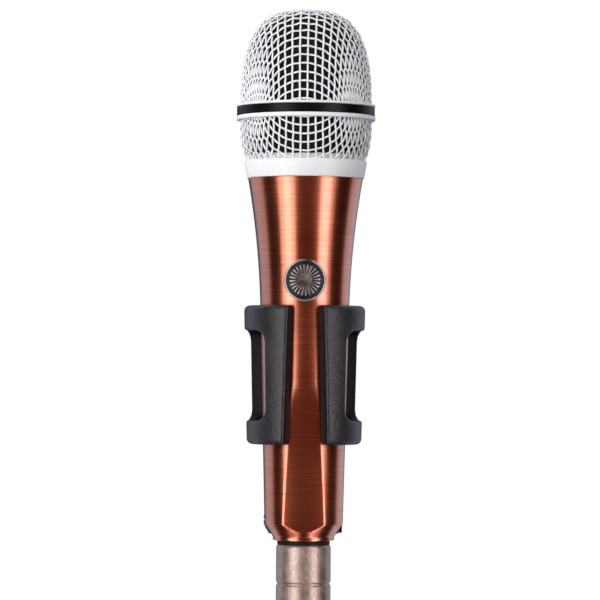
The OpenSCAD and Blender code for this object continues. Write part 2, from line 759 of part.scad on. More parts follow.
module plug_contacts() color(gold) at_mic() pins_at() difference() {
    translate([0, 0, contact_z]) cylinder(r = contact_r, h = contact_top - contact_z);
    cylinder(r = contact_r - contact_wall, h = contact_top + 1);
}

module plug_latch() {
    tab_r = shell_r + tab_out;
    color(nickel) at_mic() difference() {
        union() {
            side_plate(latch_w) polygon([
                [latch_back, latch_pivot_z], [latch_face, latch_pivot_z],
                [latch_face, tab_z[0]], [tab_r, tab_z[0] + tab_out], [tab_r, tab_z[1] - tab_out],
                [latch_face, tab_z[1]], [latch_face, hook_z[0]], [hook_out, hook_z[0]],
                [hook_out, hook_z[0] + hook_land], [latch_face, hook_z[1]], [latch_back, hook_z[1]]
            ]);
            translate([0, latch_pivot_y, latch_pivot_z]) rotate([0, 90, 0])
                cylinder(r = latch_boss_r, h = latch_w, center = true);
        }
        translate([0, latch_pivot_y, latch_pivot_z]) rotate([0, 90, 0])
            cylinder(r = latch_pin_r + fit, h = 2 * latch_w, center = true);
    }
}

module latch_pin() {
    half = sqrt(pow(shell_bore_r, 2) - pow(latch_pivot_y + latch_pin_r, 2)) - latch_fit;
    color(steel) at_mic() translate([0, latch_pivot_y, latch_pivot_z]) rotate([0, 90, 0])
        cylinder(r = latch_pin_r, h = 2 * half, center = true);
}

module plug_chuck() color("#d8d8d4") at_mic() difference() {
    tube(chuck_r - fit, cable_r + chuck_ease, chuck_z, chuck_len);
    for (a = [0, 90]) rotate([0, 0, a]) translate([-chuck_r, -chuck_slot / 2, chuck_z - 1])
        cube([2 * chuck_r, chuck_slot, chuck_len - chuck_root + 1]);
}

// Bushing: a sleeve round the clamp, and a tapered tail with ring grooves
module plug_bushing() {
    groove_count = 4;
    steps = 8;
    spread = shell_r - bushing_inset - bushing_end_r;
    taper_r = function(z) bushing_end_r + spread * sqrt(max(z - bushing_z, 0) / bushing_len);
    color("#19191b") at_mic() difference() {
        union() {
            rotate_extrude() polygon(concat(
                [[0, bushing_z]],
                [for (k = [0:steps]) let(z = bushing_z + bushing_len * k / steps) [taper_r(z), z]],
                [[0, shell_end]]));
            disc(shell_bore_r - fit, shell_end - 1, carrier_z - shell_end - chuck_root + 1);
        }
        for (k = [1:groove_count]) let(z = bushing_z + bushing_len * k / (groove_count + 3))
            tube(shell_r, taper_r(z) - bushing_groove_d, z, bushing_groove_w);
        disc(cable_r, bushing_z - 1, bushing_len + shell_len);
        disc(chuck_r, chuck_z, shell_len);
    }
}

// Sleeve of the clip, with its outer edges rounded
module clip_sleeve() {
    low = [clip_in_low + clip_wall - clip_round, clip_z + clip_round];
    high = [clip_in_top + clip_wall - clip_round, clip_top - clip_round];
    rotate_extrude() polygon(concat(
        [[clip_in_low, clip_z]], arc(low, clip_round, -90, 0, 5), arc(high, clip_round, 0, 90, 5),
        [[clip_in_top, clip_top]]));
}
// Front gap: two slanted half spaces that meet in front of the sleeve
module clip_gap() {
    size = 2 * clip_len;
    bevel = atan((gap_out - gap_in) / 2 / clip_wall);
    spread = atan(gap_spread / 2 / clip_len);
    intersection_for (side = [0, 1]) mirror([side, 0, 0])
        translate([gap_in / 2, -(clip_in_low + clip_in_top) / 2, clip_mid]) rotate([0, -spread, bevel])
            translate([-size, -size, -size / 2]) cube([size, size + clip_wall, size]);
}
module ear_outline() {
    foot = [clip_in_low, clip_z + clip_round];
    top = clip_z + ear_rise;
    rear = [clip_in_low + clip_wall - clip_play, top];
    translate(hinge_point) circle(ear_r);
    polygon([
        foot, [clip_in_low, top], rear,
        touch(hinge_point, ear_r, rear, -1), hinge_point, touch(hinge_point, ear_r, foot, 1)
    ]);
}
module clip() color(black_plastic) at_mic() difference() {
    union() {
        clip_sleeve();
        for (side = [-1, 1]) translate([side * (ear_in + ear_t / 2), 0, 0]) side_plate(ear_t) ear_outline();
        side_plate(2 * ear_in + 1) difference() {
            ear_outline();
            translate([-web_t, 0]) ear_outline();
            square([hinge_back + 3 * ear_r, clip_z - web_drop]);
        }
    }
    for (side = [0, 1]) mirror([side, 0, 0]) rotate([0, 0, -window_turn]) translate([0, 0, window_z])
        rotate([90, 0, 90]) linear_extrude(2 * clip_len) rounded_square(window_w, window_h, window_round);
    clip_gap();
    translate([0, hinge_back, hinge_up]) rotate([0, 90, 0]) {
        cylinder(r = pivot_r + turn_fit, h = hinge_w + 2, center = true);
        translate([0, 0, hinge_w / 2 - nut_seat])
            cylinder(d = nut_af / cos(30) + 2 * fit, h = nut_h, $fn = 6);
    }
}

module at_hinge() { translate([0, hinge_y, 0]) rotate([0, 90, 0]) children(); }

module pivot_screw() {
    dome_r = (pow(head_r, 2) + pow(head_h, 2)) / (2 * head_h);
    half = asin(head_r / dome_r);
    color(steel) at_hinge() {
        translate([0, 0, -hinge_w / 2]) cylinder(r = pivot_r, h = hinge_w - nut_seat + nut_h);
        difference() {
            translate([0, 0, -hinge_w / 2]) rotate_extrude()
                polygon(concat([[0, 0]], arc([0, dome_r - head_h], dome_r, half - 90, -90, 8)));
            for (a = [0, 90]) rotate([0, 0, a])
                translate([-head_r / 2, -screw_slot / 2, -hinge_w / 2 - head_h - 1])
                    cube([head_r, screw_slot, head_h / 2 + 1]);
        }
    }
}

module pivot_nut() color(steel) at_hinge() translate([0, 0, hinge_w / 2 - nut_seat]) difference() {
    cylinder(d = nut_af / cos(30), h = nut_h, $fn = 6);
    translate([0, 0, -1]) cylinder(r = pivot_r + fit, h = nut_h + 2);
}

module friction_washers() color("#d0cfc8") at_hinge() for (side = [0, 1]) mirror([0, 0, side])
    tube(ear_r - washer_inset, pivot_r + turn_fit, ear_in - washer_t, washer_t);

module swivel_base() color(black_plastic) difference() {
    union() {
        rotate([90, 0, 0]) rotate_extrude() polygon([
            [0, 0], [base_r - base_edge, 0], [base_r, base_edge], [base_r, base_len - base_shoulder],
            [base_r - base_shoulder, base_len], [0, base_len]
        ]);
        side_plate(tongue_w) {
            translate([hinge_y, 0]) circle(ear_r);
            translate([hinge_y, -ear_r]) square([base_gap + base_shoulder, 2 * ear_r]);
        }
    }
    at_hinge() cylinder(r = pivot_r + turn_fit, h = 2 * tongue_w, center = true);
    rotate([90, 0, 0]) translate([0, 0, -1]) cylinder(r = insert_r + fit, h = thread_len + 1);
}

module thread_insert() color(brass) rotate([90, 0, 0]) difference() {
    cylinder(r = insert_r, h = thread_len);
    translate([0, 0, -1]) cylinder(r = thread_r, h = thread_len + 2);
}

upper_mesh();
lower_mesh();
grille_ring();
name_band();
grille_collar();
foam_liner();
shock_mount();
capsule_body();
yoke();
magnet();
pole_plate();
voice_coil();
diaphragm();
capsule_cap();
handle();
badge();
transformer();
transformer_sleeve();
terminal_board();
capsule_leads();
output_leads();
socket_insert();
socket_pins();
socket_screw();
plug_shell();
plug_seal();
plug_insert();
plug_contacts();
plug_latch();
latch_pin();
plug_chuck();
plug_bushing();
clip();
pivot_screw();
pivot_nut();
friction_washers();
swivel_base();
thread_insert();
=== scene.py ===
# Handheld vocal microphone in a stand clip: the looks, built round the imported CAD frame
import math
import bpy
import numpy as np
from mathutils import Matrix, Vector


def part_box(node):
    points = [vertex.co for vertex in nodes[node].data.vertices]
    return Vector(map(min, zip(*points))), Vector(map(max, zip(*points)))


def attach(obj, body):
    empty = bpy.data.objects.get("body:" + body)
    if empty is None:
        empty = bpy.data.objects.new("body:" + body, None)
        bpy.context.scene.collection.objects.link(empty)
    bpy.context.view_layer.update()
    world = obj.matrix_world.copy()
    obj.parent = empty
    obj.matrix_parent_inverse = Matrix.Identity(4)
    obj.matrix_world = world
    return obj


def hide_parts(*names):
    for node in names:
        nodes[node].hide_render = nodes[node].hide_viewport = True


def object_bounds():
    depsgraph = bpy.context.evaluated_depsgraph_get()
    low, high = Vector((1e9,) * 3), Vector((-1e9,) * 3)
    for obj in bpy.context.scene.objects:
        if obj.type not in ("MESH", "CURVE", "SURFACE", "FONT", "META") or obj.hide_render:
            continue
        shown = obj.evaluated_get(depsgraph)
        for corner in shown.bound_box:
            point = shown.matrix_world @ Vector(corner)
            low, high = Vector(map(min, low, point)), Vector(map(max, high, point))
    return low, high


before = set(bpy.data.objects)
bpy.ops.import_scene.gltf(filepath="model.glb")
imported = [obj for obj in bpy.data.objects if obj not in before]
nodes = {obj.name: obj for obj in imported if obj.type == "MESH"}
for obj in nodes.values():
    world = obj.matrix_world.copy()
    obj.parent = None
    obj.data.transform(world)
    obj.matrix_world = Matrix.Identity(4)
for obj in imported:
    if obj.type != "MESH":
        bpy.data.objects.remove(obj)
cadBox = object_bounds()
mm = 0.001
handleLow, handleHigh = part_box("handle")
micY = (handleLow.y + handleHigh.y) / 2  # the flare is round, so the handle's box is centred on its axis
micZ = handleLow.z
print("frame loaded:", len(nodes), "nodes")


# Camera: at the photograph's eye level, with the slight roll of the microphone in it
cameraView = {
    "distance": 1.13,       # m from the microphone's axis
    "eyeHeight": 0.062,     # m above the handle's lower rim
    "aimHeight": 0.0830,    # m, height in the middle of the picture
    "aimSide": -0.00168,    # m, the axis is a little right of the middle
    "viewWidth": 0.2078,    # m of the object across the picture
    "roll": 0.33,           # degrees
    "reach": 50,            # m, the farthest thing seen
}


def setCamera(view):
    bpy.ops.object.camera_add()
    camera = bpy.context.active_object
    eye = Vector((view["aimSide"], micY - view["distance"], micZ + view["eyeHeight"]))
    aim = Vector((view["aimSide"], micY, micZ + view["aimHeight"]))
    turn = (aim - eye).to_track_quat("-Z", "Y").to_matrix().to_4x4()
    roll = Matrix.Rotation(math.radians(view["roll"]), 4, "Z")
    camera.matrix_world = Matrix.Translation(eye) @ turn @ roll
    camera.data.lens = camera.data.sensor_width * view["distance"] / view["viewWidth"]
    camera.data.clip_end = view["reach"]
    bpy.context.scene.camera = camera


setCamera(cameraView)
print("camera set")


def toLinear(hexText):  # sRGB hex to linear RGBA
    parts = [int(hexText[i:i + 2], 16) / 255 for i in (1, 3, 5)]
    return [c / 12.92 if c <= 0.04045 else ((c + 0.055) / 1.055) ** 2.4 for c in parts] + [1]


# Settings are named by socket or property. A link comes from a socket, or from a node's first output.
def addNode(tree, kind, settings=None, links=None):
    node = tree.nodes.new("ShaderNode" + kind)
    for name, value in (settings or {}).items():
        if isinstance(name, int) or name in node.inputs.keys():
            node.inputs[name].default_value = value
        else:
            setattr(node, name, value)
    for name, source in (links or {}).items():
        tree.links.new(getattr(source, "outputs", [source])[0], node.inputs[name])
    return node


def emptyTree(owner):  # the cleared node tree of a material or a world
    owner.use_nodes = True
    owner.node_tree.nodes.clear()
    return owner.node_tree


def smoothRange(tree, value, low, high, start=0, end=1):  # eases from start to end between two values
    return addNode(tree, "MapRange", {"interpolation_type": "SMOOTHSTEP", "From Min": low, "From Max": high,
                                      "To Min": start, "To Max": end}, {"Value": value})


# Studio: a tall softbox on each side with a brighter core that only polished surfaces mirror, a low
# reflector under each, a white wall on the left, a white sweep behind, and dark sides and a dark
# ground that give metal its bands
studio = {
    # name, degrees round from the camera and up, width, height, radiance, colour, lights matt surfaces
    "boxes": (
        ("softboxLeft", -41, 0, 0.86, 1.7, 2.15, "#FFFFFF", True),
        ("softboxRight", 48, 0, 0.80, 1.7, 1.0, "#FFFFFF", True),
        ("coreLeft", -40, 0, 0.40, 6.4, 2.1, "#FFF0FF", False),
        ("coreRight", 45.3, 0, 0.46, 6.4, 3.1, "#FFF0FF", False),
        ("reflectorLeft", -48, -60, 0.70, 0.4, 0.85, "#FFE0C8", False),  # for the foot's slanted edge
        ("reflectorRight", 48, -60, 0.70, 0.4, 0.85, "#FFE0C8", False),
    ),
    "boxDistance": 1.25,
    "nearShare": 0.98,      # cores and reflectors stand a little nearer
    "boxAim": 0.09,         # m above the handle's lower rim
    "leftFill": 1.0,        # soft light for matt surfaces, strongest from the left
    "rightFill": 0.31,
    "fillRange": (-0.8, 0.8),
    "underFill": 0.1,       # share of it that comes from below
    "underRange": (-0.8, 0.2),
    "roomTurn": 5.3,        # degrees, the sweep stands a little askew
    "room": (               # what metal sees from the camera's side round to the sweep: place and colour
        (0.0, "#663B29"), (0.2, "#402013"), (0.59, "#32170C"), (0.655, "#D8DEF2"), (0.8, "#DCE2F5"),
        (0.91, "#BEC4D6"), (0.968, "#645E63"), (1.0, "#1C1618")),
    "roomFloor": (-0.66, -0.56, "#2A140B"),  # below these two heights metal sees a dark floor
    "floorRadius": 0.34,
    "floorFade": 0.3,       # share of the radius at which the floor begins to fade
    "floorDrop": 0.032,     # m below the object, so that the connector can be pulled
    "floorColour": "#EFEFEE",
    "floorRough": 0.8,
    "floorSides": 96,
}


def placeBoxes(look):
    middle = Vector((0, micY, micZ + look["boxAim"]))
    for name, across, up, width, height, level, colour, lightsAll in look["boxes"]:
        turn, rise = math.radians(across), math.radians(up)
        distance = look["boxDistance"] * (1 if lightsAll else look["nearShare"])
        place = middle + distance * Vector((
            math.sin(turn) * math.cos(rise), -math.cos(turn) * math.cos(rise), math.sin(rise)))
        bpy.ops.object.light_add(type="AREA", location=place)
        lamp = bpy.context.active_object
        lamp.name = name
        lamp.rotation_euler = (middle - place).to_track_quat("-Z", "Y").to_euler()
        lamp.data.shape = "RECTANGLE"
        lamp.data.size, lamp.data.size_y = width, height
        lamp.data.energy = level * math.pi * width * height
        lamp.data.color = toLinear(colour)[:3]
        lamp.visible_camera = False
        lamp.visible_diffuse = lightsAll


def setRoom(look):
    world = bpy.data.worlds.new("studio")
    bpy.context.scene.world = world
    tree = emptyTree(world)
    direction = addNode(tree, "TexCoord").outputs["Generated"]
    turned = addNode(tree, "Mapping", {"Rotation": (0, 0, -math.radians(look["roomTurn"]))},
                     {"Vector": direction})
    parts = addNode(tree, "SeparateXYZ", {}, {0: turned}).outputs
    depth = addNode(tree, "MapRange", {"From Min": -1, "From Max": 1}, {"Value": parts["Y"]})
    room = addNode(tree, "ValToRGB", {}, {0: depth})
    stops = room.color_ramp.elements
    for k, (place, colour) in enumerate(look["room"]):
        stop = stops[k] if k < 2 else stops.new(place)  # a new ramp has two stops
        stop.position, stop.color = place, toLinear(colour)
    low, high, ground = look["roomFloor"]
    mirror = addNode(tree, "Mix", {"data_type": "RGBA", 6: toLinear(ground)},
                     {0: smoothRange(tree, parts["Z"], low, high), 7: room})
    fill = smoothRange(tree, parts["X"], *look["fillRange"], look["leftFill"], look["rightFill"])
    under = smoothRange(tree, parts["Z"], *look["underRange"], look["underFill"])
    soft = addNode(tree, "Math", {"operation": "MULTIPLY"}, {0: fill, 1: under})
    ray = addNode(tree, "LightPath").outputs
    seen = addNode(tree, "Math", {"operation": "MAXIMUM"},
                   {0: ray["Is Camera Ray"], 1: ray["Is Transmission Ray"]})
    lit = addNode(tree, "Mix", {"data_type": "RGBA"}, {0: ray["Is Glossy Ray"], 6: soft, 7: mirror.outputs[2]})
    colour = addNode(tree, "Mix", {"data_type": "RGBA", 7: (1, 1, 1, 1)}, {0: seen, 6: lit.outputs[2]})
    light = addNode(tree, "Background", {"Strength": 1}, {"Color": colour.outputs[2]})
    addNode(tree, "OutputWorld", {}, {"Surface": light})


def layFloor(look):
    bpy.ops.mesh.primitive_circle_add(
        vertices=look["floorSides"], radius=look["floorRadius"], fill_type="NGON",
        location=(0, micY, cadBox[0].z - look["floorDrop"]))
    floor = bpy.context.active_object
    floor.name = "studioFloor"
    paper = bpy.data.materials.new("pale paper floor")
    tree = emptyTree(paper)
    place = addNode(tree, "TexCoord").outputs["Object"]
    reach = addNode(tree, "VectorMath", {"operation": "LENGTH"}, {0: place}).outputs["Value"]
    edge = smoothRange(tree, reach, look["floorRadius"] * look["floorFade"], look["floorRadius"])
    ray = addNode(tree, "LightPath").outputs
    other = addNode(tree, "Math", {"operation": "SUBTRACT", 0: 1}, {1: ray["Is Camera Ray"]})
    # the object is lit and mirrors as if it hung free
    unseen = addNode(tree, "Math", {"operation": "MAXIMUM"}, {0: edge, 1: other})
    clear = addNode(tree, "BsdfTransparent")
    sheet = addNode(tree, "BsdfPrincipled",
                    {"Base Color": toLinear(look["floorColour"]), "Roughness": look["floorRough"]})
    faded = addNode(tree, "MixShader", {}, {0: unseen, 1: sheet, 2: clear})
    addNode(tree, "OutputMaterial", {}, {"Surface": faded})
    floor.data.materials.append(paper)


bpy.context.scene.view_settings.view_transform = "Standard"
placeBoxes(studio)
setRoom(studio)
layFloor(studio)
print("studio set")


# Finishes: size of the grain in mm, or in mm along x, y and z, size of the slow clouding, dark and light
# tone, least and most roughness, and what else differs. Bump is a depth in mm.
finishes = {
    # copper plate, brushed round its axis under clear lacquer: streaks round it, soft bands along it;
    # real brushing is finer and is drawn coarse enough to show
    "brushed copper plate": ((26, 26, 0.32), 40, "#AC5838", "#DA8364", (0.27, 0.36),
        {"detail": 4, "bump": 0.008, "metallic": 1, "anisotropic": 0.75, "coat": 1.0, "coatRough": 0.14}),
    # powder-coated steel wire: white, a little soft, greyer where the coat is thin
    "white powder coat": (0.5, 9, "#EEEFF4", "#FBFBFD", (0.32, 0.48), {}),
    # stove enamel on turned steel: smooth white with a soft gloss
    "white stove enamel": (0.9, 14, "#EEEFF3", "#F8F8FA", (0.42, 0.52), {"bump": 0.006, "specular": 0.35}),
    # black enamel band: glossy, with faint wipe marks round it
    "black gloss enamel": ((8, 8, 0.3), 12, "#060607", "#0E0E10", (0.26, 0.36), {"bump": 0.004, "specular": 0.12}),
    # open-cell polyurethane foam: near black, full of small pores
    "open-cell foam": (0.7, 8, "#050507", "#141519", (0.9, 1.0), {"detail": 3, "bump": 0.35}),
    # aged pewter: grey, darker in its hollows
    "aged pewter": (0.45, 3, "#56534F", "#A8A29A", (0.28, 0.5), {"detail": 4, "bump": 0.02, "metallic": 1}),
    "blackened pewter": (0.3, 2.5, "#121214", "#2E2D2E", (0.35, 0.6), {"detail": 4, "bump": 0.03, "metallic": 0.6}),
    # glass-filled nylon moulding with a spark-eroded grain: charcoal, finely pitted
    "grained nylon": (0.5, 16, "#0B0B0C", "#353338", (0.29, 0.38), {"detail": 1, "bump": 0.14, "specular": 0.42}),
    # the same nylon where the mould's slides leave it smooth, in the walls of the gap and the windows; its darker
    # tone is painted shade, as these walls lie in shadow
    "smooth nylon with painted shade": (0.5, 16, "#0B0B0C", "#232124", (0.46, 0.56), {"detail": 1, "specular": 0.07}),
    # satin nickel plate on a zinc casting: warm grey, faintly mottled
    "satin nickel": ((0.8, 0.8, 1.6), 7, "#857469", "#BCABA0", (0.34, 0.46), {"detail": 4, "metallic": 0.85}),
    # moulded black polymer, smoother than the clip
    "moulded black polymer": (0.6, 8, "#101012", "#1E1E21", (0.36, 0.5), {"bump": 0.02}),
    "black rubber": (0.5, 6, "#050506", "#0C0C0D", (0.5, 0.65), {"detail": 3, "bump": 0.03, "specular": 0.2}),
    # black zinc plate on steel screws: dark with a dull shine on its edges
    "black zinc plate": (0.5, 4, "#101012", "#222225", (0.4, 0.55), {"detail": 3, "specular": 0.35}),
    "turned steel": ((5, 5, 0.25), 8, "#7C7F84", "#B4B6BA", (0.28, 0.42),
        {"detail": 3, "bump": 0.008, "metallic": 1}),
    "turned brass": ((4, 0.25, 4), 6, "#8F7434", "#C9AB62", (0.25, 0.4),
        {"detail": 3, "bump": 0.008, "metallic": 1}),
    "gold plate": ((2, 2, 0.3), 4, "#B58E3A", "#DDBB68", (0.16, 0.26), {"bump": 0.004, "metallic": 1}),
    "natural acetal": (0.8, 6, "#C9C7BE", "#DDDBD3", (0.34, 0.46), {"bump": 0.008}),
    "polyester film": (1.5, 5, "#B9BCC4", "#DDE0E6", (0.1, 0.2), {"bump": 0.006}),
    "enamelled copper wire": ((6, 6, 0.18), 4, "#7E3F1D", "#C9793F", (0.2, 0.32), {"bump": 0.05, "metallic": 1}),
    "glass-epoxy board": (0.9, 5, "#21492E", "#37694A", (0.36, 0.5), {}),
    "red vinyl lead": ((0.8, 0.8, 2), 6, "#8C2626", "#B03A36", (0.34, 0.46), {}),
    "blue vinyl lead": ((0.8, 0.8, 2), 6, "#24428C", "#3A5CAE", (0.34, 0.46), {}),
    "grey anodised aluminium": (0.4, 6, "#4A4C51", "#74767C", (0.32, 0.46), {"metallic": 1}),
}
# noise keeps near 0.5, so its part from low to high is used
pattern = {"grainRough": 0.6, "cloudDetail": 2, "cloudShare": 0.3, "low": 0.3, "high": 0.7}


def makeFinish(name, grainSize, cloudSize, dark, light, rough, look):
    material = bpy.data.materials.new(name)
    tree = emptyTree(material)
    sizes = grainSize if isinstance(grainSize, tuple) else (grainSize,) * 3
    span = {"From Min": pattern["low"], "From Max": pattern["high"]}
    place = addNode(tree, "TexCoord").outputs["Object"]
    centred = addNode(tree, "Mapping", {"Location": (0, -micY, 0)}, {"Vector": place})
    scaled = addNode(tree, "Mapping", {"Scale": [1 / (size * mm) for size in sizes]}, {"Vector": centred})
    grain = addNode(tree, "TexNoise", {"Scale": 1, "Detail": look.get("detail", 2),
                                       "Roughness": pattern["grainRough"]}, {"Vector": scaled})
    cloud = addNode(tree, "TexNoise", {"Scale": 1 / (cloudSize * mm), "Detail": pattern["cloudDetail"]},
                    {"Vector": place})
    both = addNode(tree, "Mix", {0: pattern["cloudShare"]}, {2: grain, 3: cloud})
    share = addNode(tree, "MapRange", span, {"Value": both})
    tone = addNode(tree, "Mix", {"data_type": "RGBA", 6: toLinear(dark), 7: toLinear(light)}, {0: share})
    polish = addNode(tree, "MapRange", span | {"To Min": rough[0], "To Max": rough[1]}, {"Value": cloud})
    relief = addNode(tree, "Bump", {"Strength": 1, "Distance": look.get("bump", 0.01) * mm}, {"Height": grain})
    links = {"Base Color": tone.outputs[2], "Roughness": polish, "Normal": relief}
    settings = {"Metallic": look.get("metallic", 0), "Specular IOR Level": look.get("specular", 0.5)}
    if "coat" in look:
        settings |= {"Coat Weight": look["coat"], "Coat Roughness": look["coatRough"]}
    if "anisotropic" in look:
        settings |= {"Anisotropic": look["anisotropic"], "Anisotropic Rotation": 0.25}  # blurs along the axis
        links["Tangent"] = addNode(tree, "Tangent", {"direction_type": "RADIAL", "axis": "Z"})
    shader = addNode(tree, "BsdfPrincipled", settings, links)
    addNode(tree, "OutputMaterial", {}, {"Surface": shader})
    return material


finish = {name: makeFinish(name, *look) for name, look in finishes.items()}
print("finishes made:", len(finish))


def clearSelection():
    if bpy.context.mode != "OBJECT":
        bpy.ops.object.mode_set(mode="OBJECT")
    bpy.ops.object.select_all(action="DESELECT")


def pickOnly(piece):
    clearSelection()
    bpy.context.view_layer.objects.active = piece
    piece.select_set(True)


def applyModifier(piece, kind, **settings):
    pickOnly(piece)
    modifier = piece.modifiers.new(kind, kind)
    for name, value in settings.items():
        setattr(modifier, name, value)
    bpy.ops.object.modifier_apply(modifier=modifier.name)


def softenEdges(piece, width, segments=3, angle=32):  # width in mm
    applyModifier(piece, "BEVEL", width=width * mm, segments=segments, limit_method="ANGLE",
                  angle_limit=math.radians(angle), harden_normals=False)


def combine(piece, other, operation):  # joins another piece to this one or cuts it away
    applyModifier(piece, "BOOLEAN", object=other, operation=operation, solver="EXACT")
    bpy.data.objects.remove(other)


def addShape(operator, **settings):  # a new piece made by one of the mesh primitives
    clearSelection()
    operator(**settings)
    return bpy.context.active_object


def fixPlace():  # writes the active piece's place, turn and size into its mesh
    bpy.ops.object.transform_apply(location=True, rotation=True, scale=True)


def addBox(size, place, turn=(0, 0, 0)):  # size in mm
    box = addShape(bpy.ops.mesh.primitive_cube_add, size=1, location=place, rotation=turn)
    box.scale = [length * mm for length in size]
    fixPlace()
    return box


def addPin(radius, width, place, sides=64):  # a pin along x, in mm
    pin = addShape(bpy.ops.mesh.primitive_cylinder_add, vertices=sides, radius=radius * mm, depth=width * mm,
                   rotation=(0, math.pi / 2, 0), location=place)
    fixPlace()
    return pin


def addBlock(size, stretch, place):  # a cube of this size in mm, stretched, in the open piece
    bpy.ops.mesh.primitive_cube_add(size=size * mm, location=place)
    bpy.ops.transform.resize(value=stretch, center_override=place)


def wrapHull(weld=0.02, flat=2):  # one closed skin round all in the open piece, without slivers; mm, degrees
    bpy.ops.mesh.select_all(action="SELECT")
    bpy.ops.mesh.convex_hull()
    bpy.ops.mesh.select_all(action="SELECT")
    bpy.ops.mesh.remove_doubles(threshold=weld * mm)
    bpy.ops.mesh.dissolve_limited(angle_limit=math.radians(flat))
    bpy.ops.object.mode_set(mode="OBJECT")


def openAll(piece):  # leaves edit mode open with everything selected
    pickOnly(piece)
    bpy.ops.object.mode_set(mode="EDIT")
    bpy.ops.mesh.select_all(action="SELECT")


def editSome(piece, kind, wanted, operator, **settings):  # works on only the wanted faces or edges
    openAll(piece)
    bpy.ops.mesh.select_mode(type=kind)
    bpy.ops.mesh.select_all(action="DESELECT")
    bpy.ops.object.mode_set(mode="OBJECT")
    for part in piece.data.polygons if kind == "FACE" else piece.data.edges:
        part.select = bool(wanted(part))
    bpy.ops.object.mode_set(mode="EDIT")
    operator(**settings)
    bpy.ops.object.mode_set(mode="OBJECT")


def dress(piece, finishName, body, slot, *replaced, smooth=35, weld=0.001):  # degrees, mm
    openAll(piece)
    bpy.ops.mesh.remove_doubles(threshold=weld * mm)  # points that fell together
    bpy.ops.object.mode_set(mode="OBJECT")
    bpy.ops.object.shade_smooth_by_angle(angle=math.radians(smooth))
    if not piece.data.materials:
        piece.data.materials.append(finish[finishName])
    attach(piece, body)
    if replaced:
        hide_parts(*replaced)
    print("made", piece.name, len(piece.data.polygons), "faces")


def onMic(x, z, back=0):  # a point in the microphone's middle plane or behind it, from mm
    return Vector((x * mm, micY, micZ + z * mm)) + Vector((0, back * mm, 0))


def onStand(r, depth):  # a point of the stand base's outline, from mm
    return Vector((r * mm, -depth * mm, 0))


def ringOutline(bore, r, low, high):
    return [(bore, low), (r, low), (r, high), (bore, high)]


# An open outline has both ends on the axis.
def turnOutline(name, outline, closed=True, place=onMic, axis=(0, 0, 1), steps=160, weld=1e-6, sliver=1e-7):
    piece = addShape(bpy.ops.mesh.primitive_plane_add, size=mm)
    piece.name = name
    bpy.ops.object.mode_set(mode="EDIT")
    bpy.ops.mesh.select_mode(type="VERT")
    bpy.ops.mesh.select_all(action="SELECT")
    bpy.ops.mesh.merge(type="CENTER")  # one vertex, which the outline is drawn from
    points = [place(r, z) for r, z in outline]
    points += points[:1] if closed else []
    bpy.ops.transform.translate(value=points[0])
    for here, there in zip(points, points[1:]):
        bpy.ops.mesh.extrude_vertices_move(TRANSFORM_OT_translate={"value": there - here})
    bpy.ops.mesh.select_all(action="SELECT")
    bpy.ops.mesh.spin(steps=steps, angle=2 * math.pi, center=place(0, 0), axis=axis, use_auto_merge=True)
    bpy.ops.mesh.select_all(action="SELECT")
    bpy.ops.mesh.remove_doubles(threshold=weld)
    bpy.ops.mesh.dissolve_degenerate(threshold=sliver)
    bpy.ops.mesh.normals_make_consistent(inside=False)
    bpy.ops.object.mode_set(mode="OBJECT")
    return piece


def makeTurned(name, outline, form, *dressing):  # a turned piece with soft edges
    piece = turnOutline(name, outline, steps=form["steps"])
    softenEdges(piece, form["edge"], form.get("segments", 3), form.get("softAngle", 32))
    dress(piece, *dressing)


# Handle: turned outline with its hollow, then three slanted flats pressed into the foot
handleForm = {
    "length": 125, "topR": 19.9, "flareStart": 80, "flareR": 15.4,
    "footR": 13.55, "bevelH": 5.6, "landH": 1.2, "rimR": 10.6, "edge": 0.25,
    "bevelSteps": 9, "taperSteps": 52, "flareSteps": 44, "roundSteps": 384,
    "flats": 3, "flatTop": 69.3, "flatDepth": 1.48, "crown": 45, "flatEdge": 0.18, "runOut": (47.5, 54.5),
    "neckR": 18.0, "neckTop": 130.6, "seatR": 15.6, "seatZ": 116, "wellR": 12.2, "wellZ": 100,
    "hollowR": 11.07, "stop": (7.2, 22.5, 24), "socketR": 8.2, "groove": (9.0, 2.6, 6.6),
}
taperSlope = (handleForm["flareR"] - handleForm["footR"]) / (handleForm["flareStart"] - handleForm["bevelH"])
flareTilt = math.atan(taperSlope)
flareChord = Vector((handleForm["topR"] - handleForm["flareR"], handleForm["length"] - handleForm["flareStart"]))
flareOut = Vector((math.cos(flareTilt), -math.sin(flareTilt)))
flareBend = flareChord.length_squared / (2 * flareChord.dot(flareOut))
flareCentre = Vector((handleForm["flareR"], handleForm["flareStart"])) + flareBend * flareOut


def handleRadius(z):
    if z <= handleForm["flareStart"]:
        return handleForm["flareR"] - (handleForm["flareStart"] - z) * taperSlope
    return flareCentre.x - math.sqrt(flareBend ** 2 - (z - flareCentre.y) ** 2)


